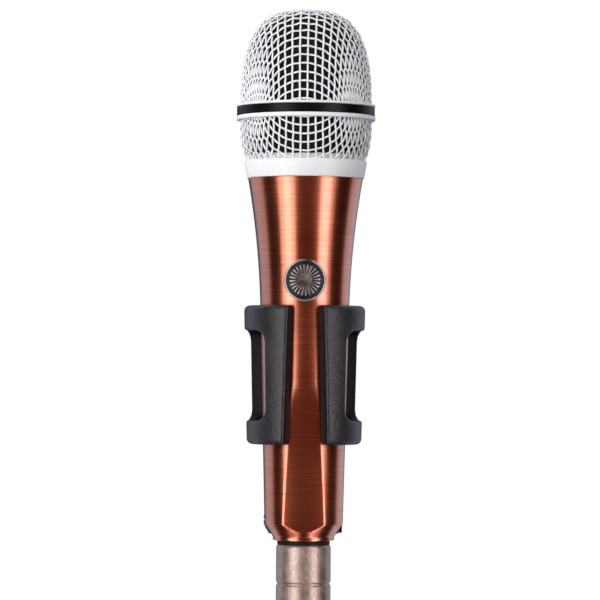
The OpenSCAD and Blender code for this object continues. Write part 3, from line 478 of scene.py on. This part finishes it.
def pressFlats(piece, form):  # slanted flats, slightly crowned, that run out softly into the round
    reach = handleRadius(form["flatTop"])
    slope = (reach - form["footR"] + form["flatDepth"]) / (form["flatTop"] - form["bevelH"])
    share = 2 * math.pi / form["flats"]
    whole, faded = form["runOut"]
    for v in piece.data.vertices:
        offset = v.co - onMic(0, 0)
        z, r = offset.z / mm, offset.to_2d().length / mm
        if z > form["flareStart"]:
            continue
        turn = (math.atan2(offset.x, -offset.y) + share / 2) % share - share / 2  # from the nearest flat's middle
        middle = reach - slope * (form["flatTop"] - z)
        bend = max(math.sin(turn) ** 2 / form["crown"], 1e-9)
        flat = (math.sqrt(math.cos(turn) ** 2 + 2 * bend * middle) - math.cos(turn)) / bend
        blend = min(max(0.5 + (flat - r) / form["flatEdge"] / 2, 0), 1)
        size = (flat + (r - flat) * blend - form["flatEdge"] * blend * (1 - blend)) / r
        fade = min(max((faded - z) / (faded - whole), 0), 1)
        size = 1 + (size - 1) * fade * fade * (3 - 2 * fade)  # the flat's upper end rises into the round
        v.co = Vector((offset.x * size, micY + offset.y * size, v.co.z))


def makeHandle(form):
    slant = zip(np.linspace(form["rimR"], form["footR"], form["bevelSteps"])[:-1],
                np.linspace(form["landH"], form["bevelH"], form["bevelSteps"])[:-1])
    levels = list(np.linspace(form["bevelH"], form["flareStart"], form["taperSteps"]))
    levels += list(np.linspace(form["flareStart"], form["length"], form["flareSteps"])[1:])
    outside = [(form["rimR"], 0)] + list(slant) + [(handleRadius(z), z) for z in levels]
    stopR, stopLow, stopHigh = form["stop"]
    grooveR, grooveLow, grooveHigh = form["groove"]
    inside = [
        (form["neckR"], form["length"]), (form["neckR"], form["neckTop"]), (form["seatR"], form["neckTop"]),
        (form["seatR"], form["seatZ"]), (form["wellR"], form["seatZ"]), (form["wellR"], form["wellZ"]),
        (form["hollowR"], form["wellZ"]), (form["hollowR"], stopHigh), (stopR, stopHigh), (stopR, stopLow),
        (form["socketR"], stopLow), (form["socketR"], grooveHigh), (grooveR, grooveHigh), (grooveR, grooveLow),
        (form["socketR"], grooveLow), (form["socketR"], 0)]
    piece = turnOutline("handleTube", outside + inside, steps=form["roundSteps"])
    softenEdges(piece, form["edge"], 2)
    pressFlats(piece, form)
    dress(piece, "brushed copper plate", "microphone", "copper", "handle", smooth=20)


makeHandle(handleForm)


# Plaque: a round medal with a raised rim and plain radial flutes, pressed to the curve of the handle
plaqueForm = {"radius": 7.3, "height": 89.5, "field": 0.7, "rim": 0.8, "rimRise": 0.4, "rimFoot": 0.2, "rings": 6,
              "flutes": 24, "fluteIn": 2.4, "fluteOut": 5.3, "fluteRise": 0.3,
              "edge": 0.1, "sink": 0.05, "sides": 96}


def makePlaque(form):
    piece = addShape(bpy.ops.mesh.primitive_circle_add, vertices=form["sides"], radius=form["radius"] * mm,
                     fill_type="NGON", rotation=(math.pi / 2, 0, 0))
    piece.name = "frontPlaque"
    fixPlace()
    openAll(piece)
    lift = (0, -(form["field"] + form["rimRise"]) * mm, 0)
    bpy.ops.mesh.extrude_region_move(TRANSFORM_OT_translate={"value": lift})
    bpy.ops.mesh.inset(thickness=form["rim"] * mm)
    bpy.ops.mesh.inset(thickness=form["rimFoot"] * mm)
    bpy.ops.transform.translate(value=(0, form["rimRise"] * mm, 0))
    step = (form["radius"] - form["rim"] - form["rimFoot"]) / (form["rings"] + 0.5)
    for k in range(form["rings"]):  # rings that let the field follow the curve
        bpy.ops.mesh.inset(thickness=step * mm)
    bpy.ops.mesh.select_all(action="SELECT")
    bpy.ops.mesh.normals_make_consistent(inside=False)
    bpy.ops.object.mode_set(mode="OBJECT")
    piece.data.materials.append(finish["aged pewter"])
    piece.data.materials.append(finish["blackened pewter"])

    def reach(face):
        return math.hypot(face.center.x, face.center.z) / mm

    def isUpper(face):
        return face.center.y < -form["field"] / 2 * mm

    def isFlute(face):
        turn = math.atan2(face.center.z, face.center.x) / (2 * math.pi) + 1
        return form["fluteIn"] < reach(face) < form["fluteOut"] and int(turn * form["flutes"] * 2) % 2 == 0

    fieldR = form["radius"] - form["rim"] - form["rimFoot"] / 2
    for face in piece.data.polygons:
        onField = form["fluteIn"] < reach(face) < fieldR and isUpper(face)
        face.material_index = 1 if onField and not isFlute(face) else 0
    editSome(piece, "FACE", lambda face: isFlute(face) and isUpper(face) and face.normal.y < -0.5,
             bpy.ops.mesh.extrude_region_move, TRANSFORM_OT_translate={"value": (0, -form["fluteRise"] * mm, 0)})
    softenEdges(piece, form["edge"], 2)
    for corner in piece.data.vertices:
        x, rise, z = corner.co.x / mm, -corner.co.y / mm, corner.co.z / mm + form["height"]
        bulge = math.sqrt(handleRadius(z) ** 2 - x ** 2) + rise - form["sink"]
        corner.co = Vector((x * mm, micY - bulge * mm, micZ + z * mm))
    dress(piece, "aged pewter", "microphone", "badge_metal", "badge", smooth=40)


makePlaque(plaqueForm)


# Screens: woven wire draped over a dome and a bowl. The net keeps the length of every strand between
# crossings and lets the cells shear, as woven wire does when it is pressed to shape.
weaveForm = {
    "ease": 0.14, "wire": 0.65, "wave": 0.29, "tuck": 1.0, "sidePower": 3.3, "crownPower": 2.5,
    "downTurns": (2.2, -0.3), "cellTurns": (-1.6, 1.2), "easeSizes": (0.7, 1.5),  # each search runs between these
    "halvings": 32,
}
domeForm = {"radius": 22.3, "height": 32.25, "foot": 150.6, "depth": 40, "pitch": 2.78, "draw": 0.92,
            "up": 1, "skew": -2.2}  # degrees; each screen sits a little turned
bowlForm = {"radius": 22.45, "height": 22.75, "foot": 145.1, "depth": 14.1, "pitch": 2.7, "draw": 0.93,
            "up": -1, "skew": -1.3}


def screenLevel(p, radius, height):
    side = (math.hypot(p[0], p[1]) / radius) ** weaveForm["sidePower"]
    return side + (max(p[2], 0) / height) ** weaveForm["crownPower"] - 1


def screenNormal(p, radius, height):
    s = math.hypot(p[0], p[1])
    side = weaveForm["sidePower"] * (s / radius) ** (weaveForm["sidePower"] - 1) / radius / max(s, 1e-9)
    rise = weaveForm["crownPower"] * (max(p[2], 0) / height) ** (weaveForm["crownPower"] - 1) / height
    normal = np.array([p[0] * side, p[1] * side, rise])
    return normal / np.linalg.norm(normal)


def findTurn(at, low, high, radius, height):  # where a strand's end meets the surface
    for _ in range(weaveForm["halvings"]):
        middle = (low + high) / 2
        if screenLevel(at(middle), radius, height) < 0:
            low = middle
        else:
            high = middle
    return at((low + high) / 2)


def drapeNet(radius, height, step, below):
    axis = [np.array([0.0, 0.0, height])]
    while axis[-1][2] > -below:
        p = axis[-1]
        axis.append(findTurn(lambda a: p + step * np.array([math.cos(a), 0, -math.sin(a)]),
                             *weaveForm["downTurns"], radius, height))
    count = len(axis)
    net = np.zeros((count, count, 3))
    for k, p in enumerate(axis):
        net[k, 0] = p
        net[0, k] = (0, p[0], p[2])
    for i in range(1, count):
        for j in range(1, count):
            a, b, c = net[i - 1, j], net[i, j - 1], net[i - 1, j - 1]
            along = (b - a) / np.linalg.norm(b - a)
            middle = (a + b) / 2
            reach = math.sqrt(max(step ** 2 - np.dot(b - a, b - a) / 4, 0))
            ahead = middle - c - along * np.dot(middle - c, along)
            ahead /= np.linalg.norm(ahead)
            up = np.cross(along, ahead)
            if np.dot(up, (middle[0], middle[1], max(middle[2], 0))) < 0:
                up = -up
            net[i, j] = findTurn(
                lambda t: middle + reach * (math.cos(t) * ahead + math.sin(t) * up),
                *weaveForm["cellTurns"], radius, height)
    return net


# The press also stretches the strands a little, which opens the sheared cells.
def easeNet(net, share, radius, height):
    along = net[:, 0]
    last = len(net) - 1
    eased = np.zeros_like(net)
    for i in range(last + 1):
        for j in range(last + 1):
            reach = min(math.hypot(i, j), last - 1e-6)
            k = int(reach)
            r, _, z = along[k] + (along[k + 1] - along[k]) * (reach - k)
            turn = math.atan2(j, i)
            p = net[i, j] * (1 - share) + share * np.array([r * math.cos(turn), r * math.sin(turn), z])
            eased[i, j] = findTurn(lambda size: size * p, *weaveForm["easeSizes"], radius, height)
    return eased


def wireRuns(path, low, high):  # the stretches of a wire between two levels, cut to them
    runs, run = [], []
    for here, there in zip(path, path[1:]):
        span = there[2] - here[2]
        cuts = sorted((level - here[2]) / span for level in (low, high)
                      if span and 0 < (level - here[2]) / span < 1)
        if low <= here[2] <= high:
            run.append(here)
        for cut in cuts:
            run.append(here + (there - here) * cut)
            if len(run) > 1 and not low < (here + (there - here) * min(cut + 1e-4, 1))[2] < high:
                runs.append(run)
                run = []
    if low <= path[-1][2] <= high:
        run.append(path[-1])
    if len(run) > 1:
        runs.append(run)
    return [r for r in runs if len(r) > 1]


def rounded(path):  # adds a point between each two, on a smooth curve through them
    ends = [path[0]] + list(path) + [path[-1]]
    fine = []
    for k in range(1, len(path)):
        fine += [ends[k], (9 * (ends[k] + ends[k + 1]) - ends[k - 1] - ends[k + 2]) / 16]
    return fine + [path[-1]]


def weaveScreen(name, form, node):
    radius, height, draw = form["radius"], form["height"], form["draw"]
    net = drapeNet(radius, height * draw, form["pitch"] / 2, 2 * form["pitch"])
    net = easeNet(net, weaveForm["ease"], radius, height * draw)
    net[:, :, 2] /= draw  # pressing draws the cells out towards the rim
    last = len(net) - 1
    turn = Matrix.Rotation(math.radians(form["skew"]), 2)
    curve = bpy.data.curves.new(name, "CURVE")
    curve.dimensions = "3D"
    curve.bevel_depth = weaveForm["wire"] / 2 * mm
    curve.bevel_resolution = 1
    curve.use_fill_caps = True
    for family in (0, 1):
        for k in range(-last + (last + 1) % 2, last + 1, 2):  # wires run at the odd steps, so the crown is open
            path = []
            for i in range(-last, last + 1):
                a, b = (i, k) if family == 0 else (k, i)
                p = net[abs(a), abs(b)] * (np.sign(a) or 0, np.sign(b) or 0, 1)
                crossing = 0 if i % 2 == 0 else (-1) ** ((a + 1) // 2 + (b + 1) // 2 + family)
                path.append(p + crossing * weaveForm["wave"] * screenNormal(p, radius, height))
            for run in wireRuns(path, -weaveForm["tuck"], form["depth"] + weaveForm["tuck"]):
                fine = rounded(run)
                strand = curve.splines.new("POLY")
                strand.points.add(len(fine) - 1)
                for point, p in zip(strand.points, fine):
                    x, y = turn @ Vector(p[:2])
                    point.co = (*onMic(x, form["foot"] + form["up"] * p[2]), 1)
                    point.co.y += y * mm
    piece = bpy.data.objects.new(name, curve)
    bpy.context.scene.collection.objects.link(piece)
    pickOnly(piece)
    bpy.ops.object.convert(target="MESH")
    piece = bpy.context.active_object
    dress(piece, "white powder coat", "head_grille", "white_paint", node, smooth=60)


weaveScreen("wovenDome", domeForm, "upper_mesh")
weaveScreen("wovenBowl", bowlForm, "lower_mesh")


# Foam inside the screens: a thick turned liner with a rough skin
foamForm = {"gap": 1.15, "thick": 3.0, "rough": 0.35, "pore": 2.2,
            "bowlSteps": 14, "domeSteps": 26, "roundSteps": 120}


def makeFoam(form):
    side, crown = weaveForm["sidePower"], weaveForm["crownPower"]

    def skin(inset):
        bowlR, bowlH = bowlForm["radius"] - inset, bowlForm["height"] - inset
        domeR, domeH = domeForm["radius"] - inset, domeForm["height"] - inset
        below = [(bowlR * (1 - (z / bowlH) ** crown) ** (1 / side), bowlForm["foot"] - z)
                 for z in np.linspace(bowlForm["depth"], 0, form["bowlSteps"])]
        above = [(domeR * math.cos(a), domeForm["foot"] + domeH * (1 - math.cos(a) ** side) ** (1 / crown))
                 for a in np.linspace(0, math.pi / 2, form["domeSteps"])]
        above[-1] = (0, above[-1][1])
        return below + above

    outline = skin(form["gap"] + form["thick"])[::-1] + skin(form["gap"])
    piece = turnOutline("foamLiner", outline, closed=False, steps=form["roundSteps"])
    pores = bpy.data.textures.new("foamPores", "CLOUDS")
    pores.noise_scale = form["pore"] * mm
    applyModifier(piece, "DISPLACE", texture=pores, strength=-form["rough"] * mm, mid_level=0.0,
                  texture_coords="LOCAL")
    dress(piece, "open-cell foam", "head_grille", "dark_foam", "foam_liner", smooth=60)


makeFoam(foamForm)


# Ring, band and collar of the head: turned rims with soft edges
ringForm = {"low": 145.1, "high": 150.6, "r": 24.1, "bore": 21.55, "lowerLip": 1.5, "upperLip": 0.9,
            "floorR": 23.05, "edge": 0.38, "steps": 192}
bandForm = {"low": 146.65, "high": 149.65, "r": 23.9, "bore": 23.1, "edge": 0.12, "segments": 2, "steps": 192}
collarForm = {"low": 125, "high": 131, "lowR": 20.3, "highR": 21.3, "bore": 18.25, "edge": 0.45,
              "lipIn": 18.95, "lipOut": 19.4, "lipTop": 133.2, "steps": 192}


def makeRims(ring, band, collar):
    lower, upper = ring["low"] + ring["lowerLip"], ring["high"] - ring["upperLip"]
    makeTurned("grilleRing", [
        (ring["bore"], ring["low"]), (ring["r"], ring["low"]), (ring["r"], lower), (ring["floorR"], lower),
        (ring["floorR"], upper), (ring["r"], upper), (ring["r"], ring["high"]), (ring["bore"], ring["high"])],
        ring, "white stove enamel", "head_grille", "white_paint", "grille_ring")
    makeTurned("bareBand", ringOutline(band["bore"], band["r"], band["low"], band["high"]),
               band, "black gloss enamel", "head_grille", "black_paint", "name_band")
    makeTurned("grilleCollar", [
        (collar["bore"], collar["low"]), (collar["lowR"], collar["low"]), (collar["highR"], collar["high"]),
        (collar["lipOut"], collar["high"]), (collar["lipOut"], collar["lipTop"]),
        (collar["lipIn"], collar["lipTop"]), (collar["lipIn"], collar["high"]), (collar["bore"], collar["high"])],
        collar, "white stove enamel", "head_grille", "white_paint", "grille_collar")


makeRims(ringForm, bandForm, collarForm)


# Clip: a tapered panel with a front gap and two side windows, given its wall and its moulded edges,
# then the hinge ears and the web between them
clipForm = {
    "low": 33.2, "high": 81.1, "wall": 5.3, "play": 0.3,
    "gap": 18.6, "gapSpread": 2.9, "gapBevel": 0.8, "turn": 1.3,    # degrees; the sleeve sits a little turned
    "windowFront": 45.0, "windowRear": 113.2, "windowLow": 41.5, "windowHigh": 72.5, "windowRound": 4.2,
    "columns": (4, 4, 5, 4, 7), "rows": (3, 4, 5, 4, 3), "seam": 0.01,  # the two halves meet within this
    "rimEdge": 1.9, "rimSegments": 5, "edge": 0.9,
    "jawReach": 1.2, "rimReach": 0.2, "windowReach": 1, "wallFacing": 0.9,  # to find the jaws' ends, rims and walls
    "hinge": (26.0, 5.8), "earR": 5.0, "earIn": 8.4, "earOut": 12.6, "earTop": 59.5, "earEdge": 0.7,
    "earSink": 0.6, "earFoot": 1.6, "earCorner": 0.2,
    "web": 2.8, "webIn": 0.3, "webLow": 24.5, "webLap": 1, "webEdge": 0.6,
}


def clipMiddleRadius(form):
    return handleRadius((form["low"] + form["high"]) / 2) + form["play"] + form["wall"] / 2


def gapAngle(form, z):  # degrees from the front to the jaw's end at this height
    middle = (form["low"] + form["high"]) / 2
    return form["gap"] + form["gapSpread"] * (middle - z) / (form["high"] - middle)


def clipGrid(form):
    def spread(stops, counts):
        marks = [stops[0]]
        for a, b, n in zip(stops, stops[1:], counts):
            marks += list(np.linspace(a, b, n + 1)[1:])
        return marks

    corner = form["windowRound"]
    heights = spread((form["low"], form["windowLow"], form["windowLow"] + corner, form["windowHigh"] - corner,
                      form["windowHigh"], form["high"]), form["rows"])
    cornerTurn = math.degrees(corner / clipMiddleRadius(form))
    angles = [spread((gapAngle(form, z), form["windowFront"], form["windowFront"] + cornerTurn,
                      form["windowRear"] - cornerTurn, form["windowRear"], 180), form["columns"]) for z in heights]
    return heights, angles


def bendPanel(piece, form, isHole):  # wraps the flat grid round the handle, with round corners in its window
    heights, angles = clipGrid(form)
    across, up = len(angles[0]) - 1, len(heights) - 1
    front, rear = form["columns"][0], sum(form["columns"][:4])
    bottom, top = form["rows"][0], sum(form["rows"][:4])
    midR = clipMiddleRadius(form)
    corner = form["windowRound"]
    for face in piece.data.polygons:
        column, row = (face.center.x + 0.5) * across, (face.center.y + 0.5) * up
        isHole[face.index] = front < column < rear and bottom < row < top
    for v in piece.data.vertices:
        column, row = round((v.co.x + 0.5) * across), round((v.co.y + 0.5) * up)
        angle, z = angles[row][column], heights[row]
        if front <= column <= rear and bottom <= row <= top and (column in (front, rear) or row in (bottom, top)):
            side = 1 if column * 2 < front + rear else -1
            rise = 1 if row * 2 < bottom + top else -1
            edgeAngle = form["windowFront"] if side > 0 else form["windowRear"]
            edgeZ = form["windowLow"] if rise > 0 else form["windowHigh"]
            along = abs(math.radians(angle - edgeAngle)) * midR
            above = abs(z - edgeZ)
            if along < corner and above < corner:
                bow = ((above - along) / corner + 1) / 2 * math.pi / 2
                shift = corner * (1 - math.sin(bow))
                angle = edgeAngle + side * math.degrees(shift / midR)
                z = edgeZ + rise * corner * (1 - math.cos(bow))
        r = handleRadius(z) + form["play"]
        turn = math.radians(angle)
        v.co = onMic(r * math.sin(turn), z, -r * math.cos(turn))


def slantJaws(piece, form):  # the gap is wider at its mouth
    for v in piece.data.vertices:
        offset = v.co - onMic(0, 0)
        z = offset.z / mm
        angle = math.degrees(math.atan2(abs(offset.x), -offset.y))
        if angle < gapAngle(form, z) + form["jawReach"]:
            r = offset.to_2d().length
            outer = (r / mm - handleRadius(z) - form["play"]) / form["wall"] * 2 - 1
            turn = math.radians(angle + form["gapBevel"] * outer)
            v.co.x = math.copysign(r * math.sin(turn), offset.x)
            v.co.y = micY - r * math.cos(turn)


def makeClipSleeve(form):
    piece = addShape(bpy.ops.mesh.primitive_grid_add, x_subdivisions=sum(form["columns"]),
                     y_subdivisions=sum(form["rows"]), size=1)
    piece.name = "clipBody"
    isHole = {}
    bendPanel(piece, form, isHole)
    editSome(piece, "FACE", lambda face: isHole[face.index], bpy.ops.mesh.delete, type="FACE")
    applyModifier(piece, "MIRROR", merge_threshold=form["seam"] * mm)
    applyModifier(piece, "SOLIDIFY", thickness=form["wall"] * mm, offset=1, use_even_offset=True)
    slantJaws(piece, form)
    rims = [micZ + form["low"] * mm, micZ + form["high"] * mm]

    def isOuterRim(edge):
        ends = [piece.data.vertices[k].co for k in edge.vertices]
        isOuter = all((end - onMic(0, 0)).to_2d().length
                      > (handleRadius((end.z - micZ) / mm) + form["wall"]) * mm for end in ends)
        return isOuter and any(all(abs(end.z - rim) < form["rimReach"] * mm for end in ends) for rim in rims)

    editSome(piece, "EDGE", isOuterRim, bpy.ops.mesh.bevel,
             offset=form["rimEdge"] * mm, segments=form["rimSegments"], affect="EDGES")
    softenEdges(piece, form["edge"], 3, 40)
    piece.data.materials.append(finish["grained nylon"])
    # the second finish holds the walls' painted shade
    piece.data.materials.append(finish["smooth nylon with painted shade"])
    low, high = form["windowLow"] - form["windowReach"], form["windowHigh"] + form["windowReach"]
    for face in piece.data.polygons:  # the walls of the gap and the windows are smooth, and darker with painted shade
        out = (face.center - onMic(0, 0)).to_2d().normalized()
        sideways = face.normal.to_2d().cross(out)
        upright = face.normal.z if low < (face.center.z - micZ) / mm < high else 0
        face.material_index = 1 if math.hypot(sideways, upright) > form["wallFacing"] else 0
    axis = Matrix.Translation(onMic(0, 0))
    piece.data.transform(axis @ Matrix.Rotation(math.radians(form["turn"]), 4, "Z") @ axis.inverted())
    return piece


def makeEar(form, side):
    back, high = form["hinge"]
    width, point = form["earOut"] - form["earIn"], form["earCorner"]
    x = side * (form["earIn"] + form["earOut"]) / 2
    piece = addPin(form["earR"], width, onMic(x, high, back))
    inner, outer = handleRadius(form["low"]) + form["earSink"], handleRadius(form["low"]) + form["wall"]
    bpy.ops.object.mode_set(mode="EDIT")
    for y, z in ((inner, form["low"] + form["earFoot"]), (inner, form["earTop"]), (outer, form["earTop"])):
        addBlock(point, (width / point, 1, 1), onMic(x, z, y))
    wrapHull()
    softenEdges(piece, form["earEdge"], 3, 40)
    return piece


def makeClip(form):
    back, high = form["hinge"]
    outer = handleRadius(form["low"]) + form["wall"]
    top = onMic(0, form["earTop"], outer)
    foot = onMic(0, high, back + form["earR"])
    lean = math.atan2(foot.y - top.y, top.z - foot.z)
    length = (form["earTop"] - form["webLow"]) / math.cos(lean)
    middle = top + (foot - top).normalized() * length / 2 * mm
    middle += Vector((0, -math.cos(lean), -math.sin(lean))) * (form["webIn"] + form["web"] / 2) * mm
    web = addBox((2 * form["earIn"] + form["webLap"], form["web"], length), middle, (lean, 0, 0))
    softenEdges(web, form["webEdge"], 2)
    for side in (-1, 1):
        combine(web, makeEar(form, side), "UNION")
    piece = makeClipSleeve(form)
    combine(piece, web, "UNION")
    dress(piece, "grained nylon", "clip", "clip_plastic", "clip", smooth=35)


makeClip(clipForm)


# Swivel base: turned body with a recess for its insert, and the hinge tongue
baseForm = {"r": 12.0, "length": 27.0, "edge": 0.8, "shoulder": 3.0, "recessR": 9.45, "recess": 15.0,
            "hinge": 36.0, "tongueR": 5.0, "tongueW": 15.1, "tongueFoot": 2, "soften": 0.5, "steps": 128}


def makeBase(form):
    neck, foot = form["length"] - form["shoulder"], form["tongueFoot"]
    piece = turnOutline("swivelBase", [
        (0, form["recess"]), (form["recessR"], form["recess"]), (form["recessR"], 0), (form["r"] - form["edge"], 0),
        (form["r"], form["edge"]), (form["r"], neck), (form["r"] - form["shoulder"], form["length"]),
        (0, form["length"])], closed=False, place=onStand, axis=(0, 1, 0), steps=form["steps"])
    softenEdges(piece, form["soften"], 3, 30)
    tongue = addPin(form["tongueR"], form["tongueW"], (0, -form["hinge"] * mm, 0))
    bpy.ops.object.mode_set(mode="EDIT")
    addBlock(foot, (form["tongueW"] / foot, 1, 2 * form["tongueR"] / foot), Vector((0, -neck * mm, 0)))
    wrapHull()
    softenEdges(tongue, form["soften"], 3, 40)
    combine(piece, tongue, "UNION")
    dress(piece, "grained nylon", "stand_base", "clip_plastic", "swivel_base", smooth=35)


makeBase(baseForm)


# Brass insert of the stand base, with its thread as a helical ridge
insertForm = {"r": 9.4, "length": 15.0, "rootR": 7.95, "crestR": 7.47, "pitch": 25.4 / 27, "turns": 14, "edge": 0.4,
              "flank": 0.42, "ridgeSink": 0.3, "crest": 0.08,  # flank is a share of the pitch
              "steps": 96, "ridgeSteps": 48}


def makeInsert(form):
    piece = turnOutline("brassInsert", ringOutline(form["rootR"], form["r"], 0, form["length"]),
                        place=onStand, axis=(0, 1, 0), steps=form["steps"])
    softenEdges(piece, form["edge"], 1, 30)
    ridge = addShape(bpy.ops.mesh.primitive_plane_add, size=1)
    half, base = form["pitch"] * form["flank"], form["rootR"] + form["ridgeSink"]
    start = (form["length"] - (form["turns"] + 1) * form["pitch"]) / 2 + form["pitch"] / 2
    section = [(base, -half), (base, half), (form["crestR"], form["crest"]), (form["crestR"], -form["crest"])]
    order = sorted(ridge.data.vertices, key=lambda v: math.atan2(v.co.y, v.co.x))
    for v, (r, depth) in zip(order, section):
        v.co = onStand(r, start + depth)
    applyModifier(ridge, "SCREW", axis="Y", angle=2 * math.pi, screw_offset=-form["pitch"] * mm,
                  iterations=form["turns"], steps=form["ridgeSteps"], render_steps=form["ridgeSteps"],
                  use_merge_vertices=True)
    openAll(ridge)
    bpy.ops.mesh.fill_holes(sides=4)
    bpy.ops.mesh.normals_make_consistent(inside=False)
    pickOnly(piece)
    ridge.select_set(True)
    bpy.ops.object.join()
    dress(piece, "turned brass", "stand_base", "brass", "thread_insert", smooth=25)


makeInsert(insertForm)


# Cable connector: shell with its ring groove and the latch's window, seal, and grooved bushing
shellForm = {"top": -1.4, "length": 32.4, "r": 9.45, "bore": 8.3, "edge": 0.55, "edgeH": 0.9, "soften": 0.16,
             "groove": 13.6, "grooveD": 0.42, "grooveIn": 0.6, "grooveOut": 1.6,  # half widths, shares of its depth
             "window": (5.2, 9.9, 3.9), "windowCut": 5}
sealForm = {"low": -1.55, "high": -0.1, "r": 9.1, "bore": 7.95, "edge": 0.16, "steps": 128}
bushingForm = {"end": -57.8, "top": -33.8, "endR": 6.4, "topR": 9.15, "bore": 3.5, "sleeveR": 8.25,
               "sleeveTop": -26.0, "chuckR": 7.3, "chuckLow": -36.0, "grooves": 4, "plainPitches": 3,
               "grooveW": 1.0, "grooveD": 0.7, "grooveRoom": 0.05, "tailSteps": 49,
               "edge": 0.28, "segments": 2, "softAngle": 40, "steps": 128}


def makeShell(form):
    low, groove, d = form["top"] - form["length"], form["top"] - form["groove"], form["grooveD"]
    floorR, inner, outer = form["r"] - d, form["grooveIn"] * d, form["grooveOut"] * d
    piece = turnOutline("connectorShell", [
        (form["bore"], low), (floorR, low), (form["r"], low + d), (form["r"], groove - outer),
        (floorR, groove - inner), (floorR, groove + inner), (form["r"], groove + outer),
        (form["r"], form["top"] - form["edgeH"]), (form["r"] - form["edge"], form["top"]),
        (form["bore"], form["top"])])
    softenEdges(piece, form["soften"], 2, 20)
    width, deep, high = form["window"]
    place = onMic(0, -(deep + high) / 2, form["r"])
    combine(piece, addBox((width, form["windowCut"], deep - high), place), "DIFFERENCE")
    dress(piece, "satin nickel", "plug", "nickel", "plug_shell", smooth=30)


def makeBushing(form):
    tail = form["top"] - form["end"]

    def tailR(z):
        return form["endR"] + (form["topR"] - form["endR"]) * math.sqrt(max(z - form["end"], 0) / tail)

    outline = [(form["bore"], form["end"])]
    pitch = form["grooves"] + form["plainPitches"]
    marks = [form["end"] + tail * k / pitch for k in range(1, form["grooves"] + 1)]
    room = form["grooveRoom"]
    for z in np.linspace(form["end"], form["top"], form["tailSteps"]):
        if any(m - room <= z <= m + form["grooveW"] + room for m in marks):
            continue
        for m in marks:  # step over each groove that lies below this level
            if outline[-1][1] < m < z:
                floorR, upper = tailR(m) - form["grooveD"], m + form["grooveW"]
                outline += [(tailR(m), m), (floorR, m), (floorR, upper), (tailR(upper), upper)]
        outline.append((tailR(z), z))
    outline += [(form["sleeveR"], form["top"]), (form["sleeveR"], form["sleeveTop"]),
                (form["chuckR"], form["sleeveTop"]), (form["chuckR"], form["chuckLow"]),
                (form["bore"], form["chuckLow"])]
    makeTurned("cableBushing", outline, form, "moulded black polymer", "plug", "black_plastic", "plug_bushing")


makeShell(shellForm)
makeTurned("connectorSeal", ringOutline(sealForm["bore"], sealForm["r"], sealForm["low"], sealForm["high"]),
           sealForm, "black rubber", "plug", "black_rubber", "plug_seal")
makeBushing(bushingForm)


# Finishes of the CAD nodes that stay as they are
nodeFinishes = {
    "black rubber": ("shock_mount", "transformer_sleeve"),
    "moulded black polymer": ("capsule_body", "socket_insert", "plug_insert"),
    "turned steel": ("yoke", "magnet", "pole_plate", "transformer", "latch_pin"),
    "black zinc plate": ("socket_screw", "pivot_screw", "pivot_nut"),
    "enamelled copper wire": ("voice_coil",),
    "polyester film": ("diaphragm",),
    "grey anodised aluminium": ("capsule_cap",),
    "glass-epoxy board": ("terminal_board",),
    "red vinyl lead": ("capsule_leads",),
    "blue vinyl lead": ("output_leads",),
    "gold plate": ("socket_pins", "plug_contacts"),
    "satin nickel": ("plug_latch",),
    "natural acetal": ("plug_chuck", "friction_washers"),
}
for finishName, names in nodeFinishes.items():
    for name in names:
        nodes[name].data.materials.clear()
        nodes[name].data.materials.append(finish[finishName])
print("CAD nodes finished:", sum(len(names) for names in nodeFinishes.values()))
